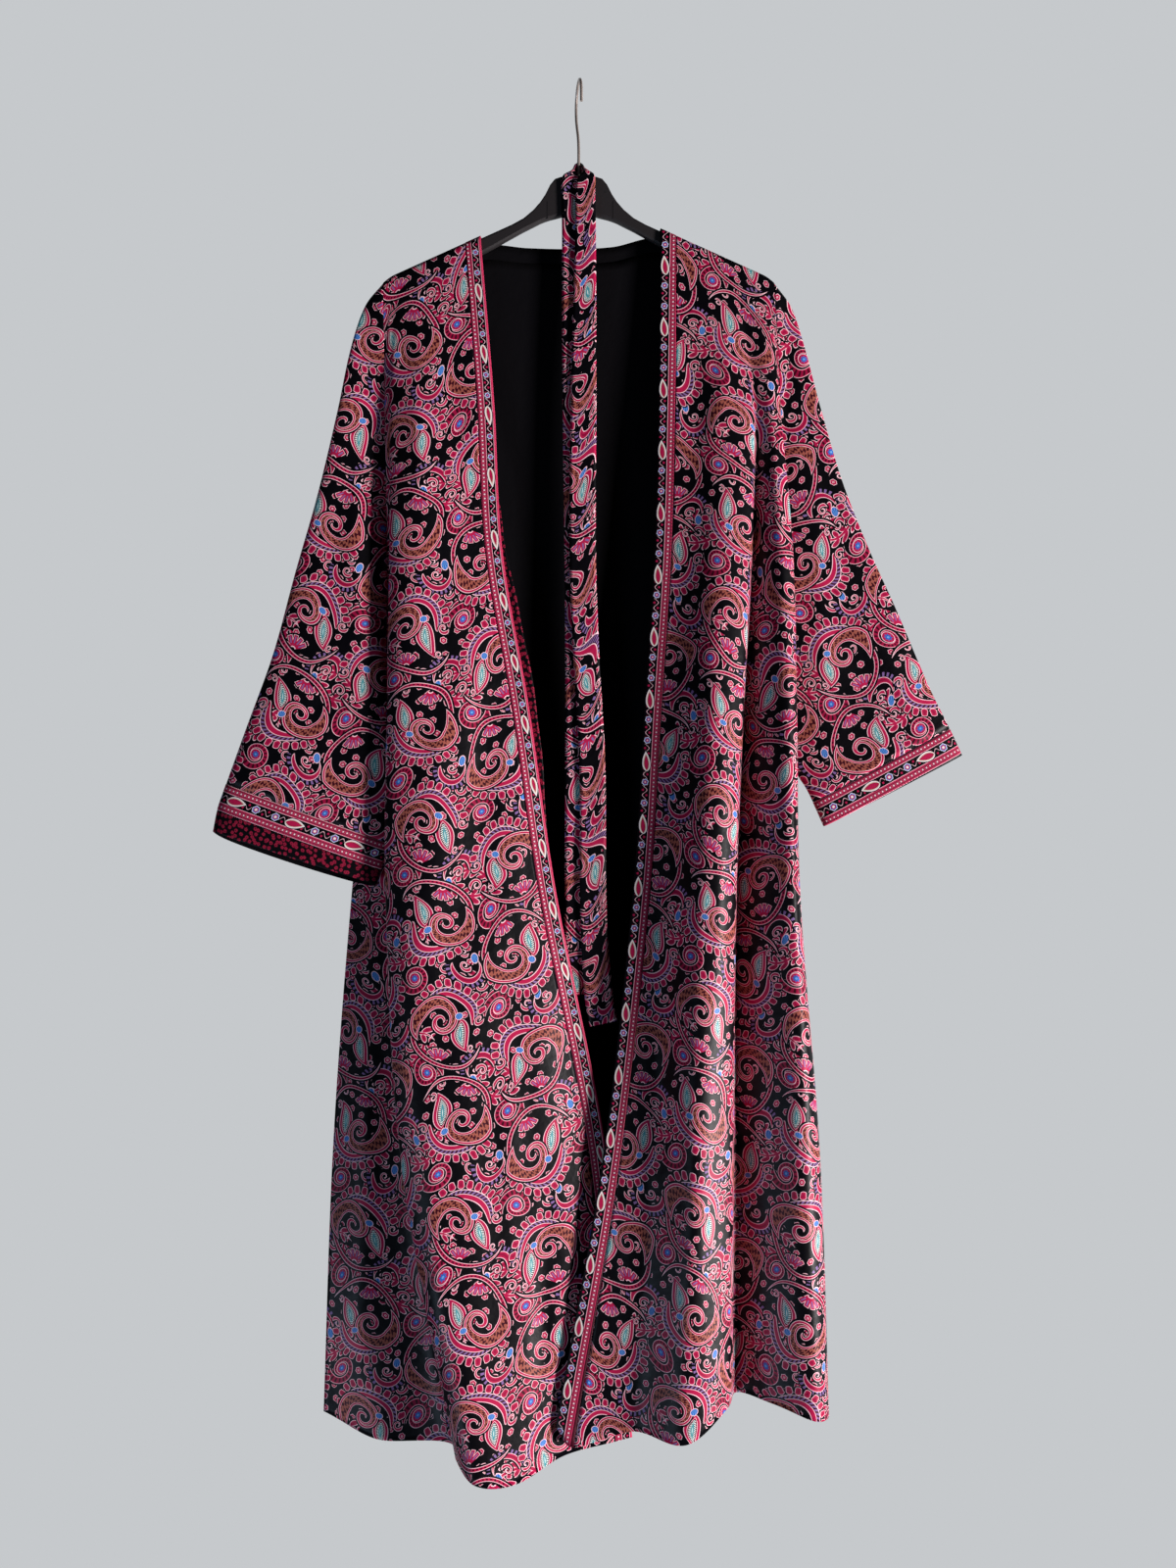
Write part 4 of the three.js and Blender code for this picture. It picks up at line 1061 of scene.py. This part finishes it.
def flat_sleeve(grid):
    """Millimetres of the cut of a flattened tube whose ring starts at the inner fold: both layers lie
    flat along the sleeve, and the back layer is folded open about the outer fold."""
    half = grid.shape[1] // 2
    flat = grid[:, :, [0, 2]]
    run = (flat[-1, 0] + flat[-1, half]) / 2 - (flat[0, 0] + flat[0, half]) / 2
    run = run / np.linalg.norm(run)
    across = flat @ np.array([-run[1], run[0]])
    across[:, :half] = 2 * across[:, half : half + 1] - across[:, :half]
    return np.stack([across, -(flat @ run)], axis=2)


def sleeve_rows(table):
    return grid_places(table, SLEEVE_FINE, start=ARMHOLE_STEPS * SLEEVE_FINE)


def sleeve(table, front_line, back_line, outward, creases, seed, name):
    """A sleeve, its cuff's border, and the facing that has dropped out of the cuff if it has one."""
    rings = [armhole(front_line, back_line, outward)] + [sleeve_ring(row) for row in table]
    steps = [ARMHOLE_STEPS] + [row.steps for row in table]
    grid = np.stack([through(line, steps, SLEEVE_FINE) for line in zip(*rings)], axis=1)
    grid = crease(rumple(grid, seed, SLEEVE_RUMPLE), creases)
    grid = np.roll(grid, RING_POINTS // 2, axis=1)
    rows = sleeve_rows(table)
    seam, edge, end = rows["borderSeam"], rows["cuffEdge"], rows.get("turnEdge")
    tube = dict(ring=True, flip=outward < 0)
    arm = shell("sleeve_" + name, shrink(grid[: seam + 1], "last_row"), flat_sleeve(grid)[: seam + 1],
                CLOTH, printed_satin, black_lining, **tube)
    strip = grid[seam : edge + 1]
    strip_cut = np.stack([arc_lengths(strip, 0), arc_lengths(strip, 1)], axis=2)
    strip = shrink(strip, "first_row", "last_row") if end else shrink(strip, "first_row")
    cuff = shell("cuff_" + name, strip, strip_cut, BAND_WALL, cuff_border, facing_print, **tube)
    if not end:
        return grid, arm, cuff
    strip = grid[edge : end + 1]
    turn = shell("cuff_facing_" + name, shrink(strip, "first_row"), cut_map(strip), CLOTH,
                 facing_print, black_lining, **tube)
    return grid, arm, cuff, turn


right_sleeve_grid, sleeve_right, cuff_right, cuff_facing_right = sleeve(
    RIGHT_SLEEVE, RIGHT_FRONT[-1], BACK[0], -1, RIGHT_SLEEVE_CREASES, seed=11, name="right")
left_sleeve_grid, sleeve_left, cuff_left = sleeve(
    LEFT_SLEEVE, LEFT_FRONT[-1], BACK[-1], 1, LEFT_SLEEVE_CREASES, seed=12, name="left")


# ---- belt ---------------------------------------------------------------------------------------

BELT_RIPPLE = 0.35
RIPPLE_TURN = 0.55  # radians to a row
RIPPLE_FROM = 130  # below the hook's top, where the belt starts to hang free
RIPPLE_OVER = 60  # how much further down it is full


def tie_belt():
    """The belt, with a slight swell between its edges that comes and goes along it."""
    steps = [row[2] for row in BELT]
    first, second = (through([row[side] for row in BELT], steps, BELT_FINE)[:, None] for side in (0, 1))
    across = np.linspace(0, 1, BELT_COLUMNS)[None, :, None]
    grid = first * (1 - across) + second * across
    ripple = np.sin(np.arange(len(grid)) * RIPPLE_TURN) * BELT_RIPPLE
    free = np.clip((-grid[:, 0, 2] - RIPPLE_FROM) / RIPPLE_OVER, 0, 1)
    grid[:, :, 1] -= (ripple * free)[:, None] * np.sin(np.linspace(0, math.pi, BELT_COLUMNS))
    return grid, shell("belt", grid, cut_map(grid), BELT_WALL, printed_satin, printed_satin)


belt_grid, belt = tie_belt()


# ---- sewing -------------------------------------------------------------------------------------

STITCH_START = 0.8
STITCH_PITCH = 3.2
STITCH_LENGTH = 2.2
STITCH_WIDTH = 0.5
STITCH_BULGE = 0.3
BESIDE_SEAM = 1.1  # from a row of stitches to the seam or the edge that it follows
BESIDE_CUFF_EDGE = 1.3
BESIDE_BELT_EDGE = 1.5
FIRST_SEWN_ROW = 12  # the rows above it lie over the shoulder


def sewn_line(grid, rows, columns, wall, flip=False, ring=False):
    """Points on the outer face of a wall and the way out at each, for a row or a column of its grid."""
    n = normals(grid, ring) * (-1 if flip else 1)
    return (grid + n * (wall / 2))[rows, columns], n[rows, columns]


def aside(line, other, away):
    """A sewn line moved over the cloth by some millimetres towards another."""
    to = other[0] - line[0]
    return line[0] + to * (away / np.linalg.norm(to, axis=1, keepdims=True)), line[1]


def stitches(name, *lines):
    """Running stitches along sewn lines, each a thread that bulges in the middle."""
    corners = []
    for points, out in lines:
        run = np.concatenate([[0], np.cumsum(np.linalg.norm(np.diff(points, axis=0), axis=1))])
        starts = np.arange(STITCH_START, run[-1] - STITCH_LENGTH, STITCH_PITCH)
        a, b, n = (
            np.stack([np.interp(starts + past, run, axis) for axis in table.T], axis=1)
            for table, past in ((points, 0), (points, STITCH_LENGTH), (out, STITCH_LENGTH / 2)))
        side = np.cross(b - a, n)
        side *= STITCH_WIDTH / 2 / np.linalg.norm(side, axis=1, keepdims=True)
        mid, bulge = (a + b) / 2, n * STITCH_BULGE
        corners.append(np.stack([a, mid + side, b, mid - side, mid + bulge, mid - bulge], axis=1))
    corners = np.concatenate(corners)
    first = 6 * np.arange(len(corners))[:, None]
    around = [(0, 1), (1, 2), (2, 3), (3, 0)]
    faces = np.concatenate([first + [p, q, 4] for p, q in around] + [first + [q, p, 5] for p, q in around])
    mesh, piece = new_piece("robe_stitches_" + name, corners.reshape(-1, 3), faces.tolist(), sewing_thread)
    mesh.polygons.foreach_set("use_smooth", np.ones(len(faces), bool))
    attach(piece, "root")
    return piece


def front_stitches(grid, lines, flip, name):
    """The hem's row over the whole panel and its band, and the row that holds the band down."""
    seam = grid_places(lines, FINE_ACROSS)["seam"]
    hem = len(grid) - 1 - HEM_ROWS
    below = slice(FIRST_SEWN_ROW, hem)
    on_panel = sewn_line(grid, hem, slice(seam + 1, -1), CLOTH, flip)
    on_band = sewn_line(grid, hem, slice(1, seam), BAND_WALL, flip)
    edge, inner = (sewn_line(grid, below, column, BAND_WALL, flip) for column in (seam, seam - 1))
    beside_seam = aside(edge, inner, BESIDE_SEAM)
    return stitches("front_" + name, on_panel), stitches("band_" + name, on_band, beside_seam)


def cuff_stitches(grid, table, flip, name):
    """A row on the cuff's border beside its seam, and another beside its edge."""
    rows = sleeve_rows(table)
    seam, after, edge, before = (
        sewn_line(grid, row, EVERY, BAND_WALL, flip, ring=True)
        for row in (rows["borderSeam"], rows["borderSeam"] + 1, rows["cuffEdge"], rows["cuffEdge"] - 1))
    return stitches("cuff_" + name, aside(seam, after, BESIDE_SEAM), aside(edge, before, BESIDE_CUFF_EDGE))


def belt_edge(edge, near):
    """A row of stitches beside one edge of the belt, given by its column and the next."""
    line, other = (sewn_line(belt_grid, EVERY, column, BELT_WALL) for column in (edge, near))
    return aside(line, other, BESIDE_BELT_EDGE)


sewn_front_right, sewn_band_right = front_stitches(right_grid, RIGHT_FRONT, False, "right")
sewn_front_left, sewn_band_left = front_stitches(left_grid, LEFT_FRONT, True, "left")
sewn_back = stitches("back", sewn_line(back_grid, len(back_grid) - 1 - HEM_ROWS, slice(1, -1), CLOTH))
sewn_cuff_right = cuff_stitches(right_sleeve_grid, RIGHT_SLEEVE, True, "right")
sewn_cuff_left = cuff_stitches(left_sleeve_grid, LEFT_SLEEVE, False, "left")
sewn_belt = stitches("belt", belt_edge(0, 1), belt_edge(-1, -2))


# ---- what the pieces are ------------------------------------------------------------------------

# piece, CAD node, slot, flat size and area in metres, and what is sewn on
PIECES = [
    (back, "back", "printed_cloth", (0.50, 1.25), 0.56, [sewn_back]),
    (back_lining, "back_lining", "black_cloth", (0.35, 1.03), None, []),
    (front_right, "front_right", "printed_cloth", (0.34, 1.27), 0.27, [sewn_front_right]),
    (front_left, "front_left", "printed_cloth", (0.33, 1.25), 0.26, [sewn_front_left]),
    (band_right, "band_right", "border_cloth", (0.02, 1.26), None, [sewn_band_right]),
    (band_left, "band_left", "border_cloth", (0.02, 1.25), None, [sewn_band_left]),
    (facing_right, "facing_right", "facing_cloth", (0.014, 0.38), None, []),
    (sleeve_right, "sleeve_right", "printed_cloth", (0.42, 0.52), 0.098, []),
    (sleeve_left, "sleeve_left", "printed_cloth", (0.40, 0.50), 0.086, []),
    (cuff_right, "cuff_right", "border_cloth", (0.36, 0.028), None, [sewn_cuff_right]),
    (cuff_left, "cuff_left", "border_cloth", (0.32, 0.028), None, [sewn_cuff_left]),
    (cuff_facing_right, "cuff_facing_right", "facing_cloth", (0.36, 0.022), None, []),
    (belt, "belt", "printed_cloth", (0.028, 1.75), None, [sewn_belt]),
]
for piece, node, slot, flat, area, sewn in PIECES:
    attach(piece, "root")
    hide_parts(node)
    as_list(sewn)


# ---- the hanger ---------------------------------------------------------------------------------

HANGER_FACE = -3.9  # y of its front
HOLE_FACE = -4.05
RIB_FACE = -4.3
HOLE_RADIUS = 1.4
HOLE_Z = -112.6
HOLE_POINTS = 16
RIB_HALF_WIDTH = 0.35
RIB_SPAN = (-140, -122)


def repaint(node, material):
    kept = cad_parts[node]
    for place in kept.material_slots:
        place.material = material
    if not kept.material_slots:
        kept.data.materials.append(material)


def hanger_mark(name, outline, face, material):
    """A small low form on the hanger's front, from its outline in x and z."""
    count = len(outline)
    points = [(x, y, z) for y in (HANGER_FACE, face) for x, z in outline]
    sides = [(i, (i + 1) % count, count + (i + 1) % count, count + i) for i in range(count)]
    mark = new_piece(name, points, sides + [tuple(range(count, 2 * count))], material)[1]
    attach(mark, "root")


repaint("hanger", hanger_plastic)
repaint("hook", hook_steel)
# two small blind holes beside the neck, drawn as near-black discs of painted shade, and the ends of its
# stiffening ribs
for side, x in (("right", -23), ("left", 27)):
    angles = np.linspace(0, 2 * math.pi, HOLE_POINTS + 1)[:-1]
    hole = [(x + HOLE_RADIUS * math.cos(a), HOLE_Z + HOLE_RADIUS * math.sin(a)) for a in angles]
    hanger_mark("hanger_hole_shade_" + side, hole, HOLE_FACE, hole_shade)
for side, x in (("right", -31.6), ("left", 35.2)):
    (foot, top), half = RIB_SPAN, RIB_HALF_WIDTH
    rib = [(x - half, foot), (x + half, foot), (x + half, top), (x - half, top)]
    hanger_mark("hanger_rib_" + side, rib, RIB_FACE, hanger_plastic)


# ---- camera, light and render -------------------------------------------------------------------

# a large window to the wearer's left, a cool soft light from low on the right, and the room:
# name, place, what it faces, size in metres, watts and colour
LIGHTS = [
    ("Window", (4.1, -2.0, -1.9), (0, 0, -1.0), 0.95, 425, (1.0, 0.94, 0.945)),
    ("Bounce", (-1.9, -1.6, -2.6), (0, 0, -1.35), 1.0, 25, (0.60, 0.78, 1.0)),
    ("Rim", (1.4, 1.8, 0.6), (0, 0, -0.6), 1.0, 8, (1.0, 0.97, 0.95)),
]
WALL = [(-9000, 4600, -9000), (9000, 4600, -9000), (9000, 4600, 8000), (-9000, 4600, 8000)]

scene = bpy.context.scene
camera_data = bpy.data.cameras.new("Camera")
camera_data.sensor_width = 36
camera_data.lens = 30.375
camera_data.clip_end = 30
camera = new_object("Camera", camera_data)
camera.location = (0.0095, -1.35, -0.715)
camera.rotation_euler = (math.radians(90), 0, 0)
scene.camera = camera

for name, place, target, size, power, colour in LIGHTS:
    light = bpy.data.lights.new(name, "AREA")
    light.size = size
    light.energy = power
    light.color = colour
    lamp = new_object(name, light)
    lamp.location = place
    lamp.rotation_euler = (Vector(target) - Vector(place)).to_track_quat("-Z", "Y").to_euler()

world = bpy.data.worlds.new("World")
scene.world = world
world.use_nodes = True
surroundings = world.node_tree.nodes["Background"]
surroundings.inputs["Color"].default_value = linear("#2c2d32")
surroundings.inputs["Strength"].default_value = 1.0

# a plain pale wall far behind, which lights nothing
pale_wall = new_material(
    "PaleWall", lambda tree: add(tree, "ShaderNodeEmission", {"Color": "#c6c9cc", "Strength": 1.0}))
new_piece("Backdrop", WALL, [(0, 1, 2, 3)], pale_wall)[1]

scene.render.engine = "CYCLES"
scene.view_settings.view_transform = "Standard"
scene.cycles.max_bounces = 5
scene.cycles.diffuse_bounces = 2
scene.cycles.glossy_bounces = 2
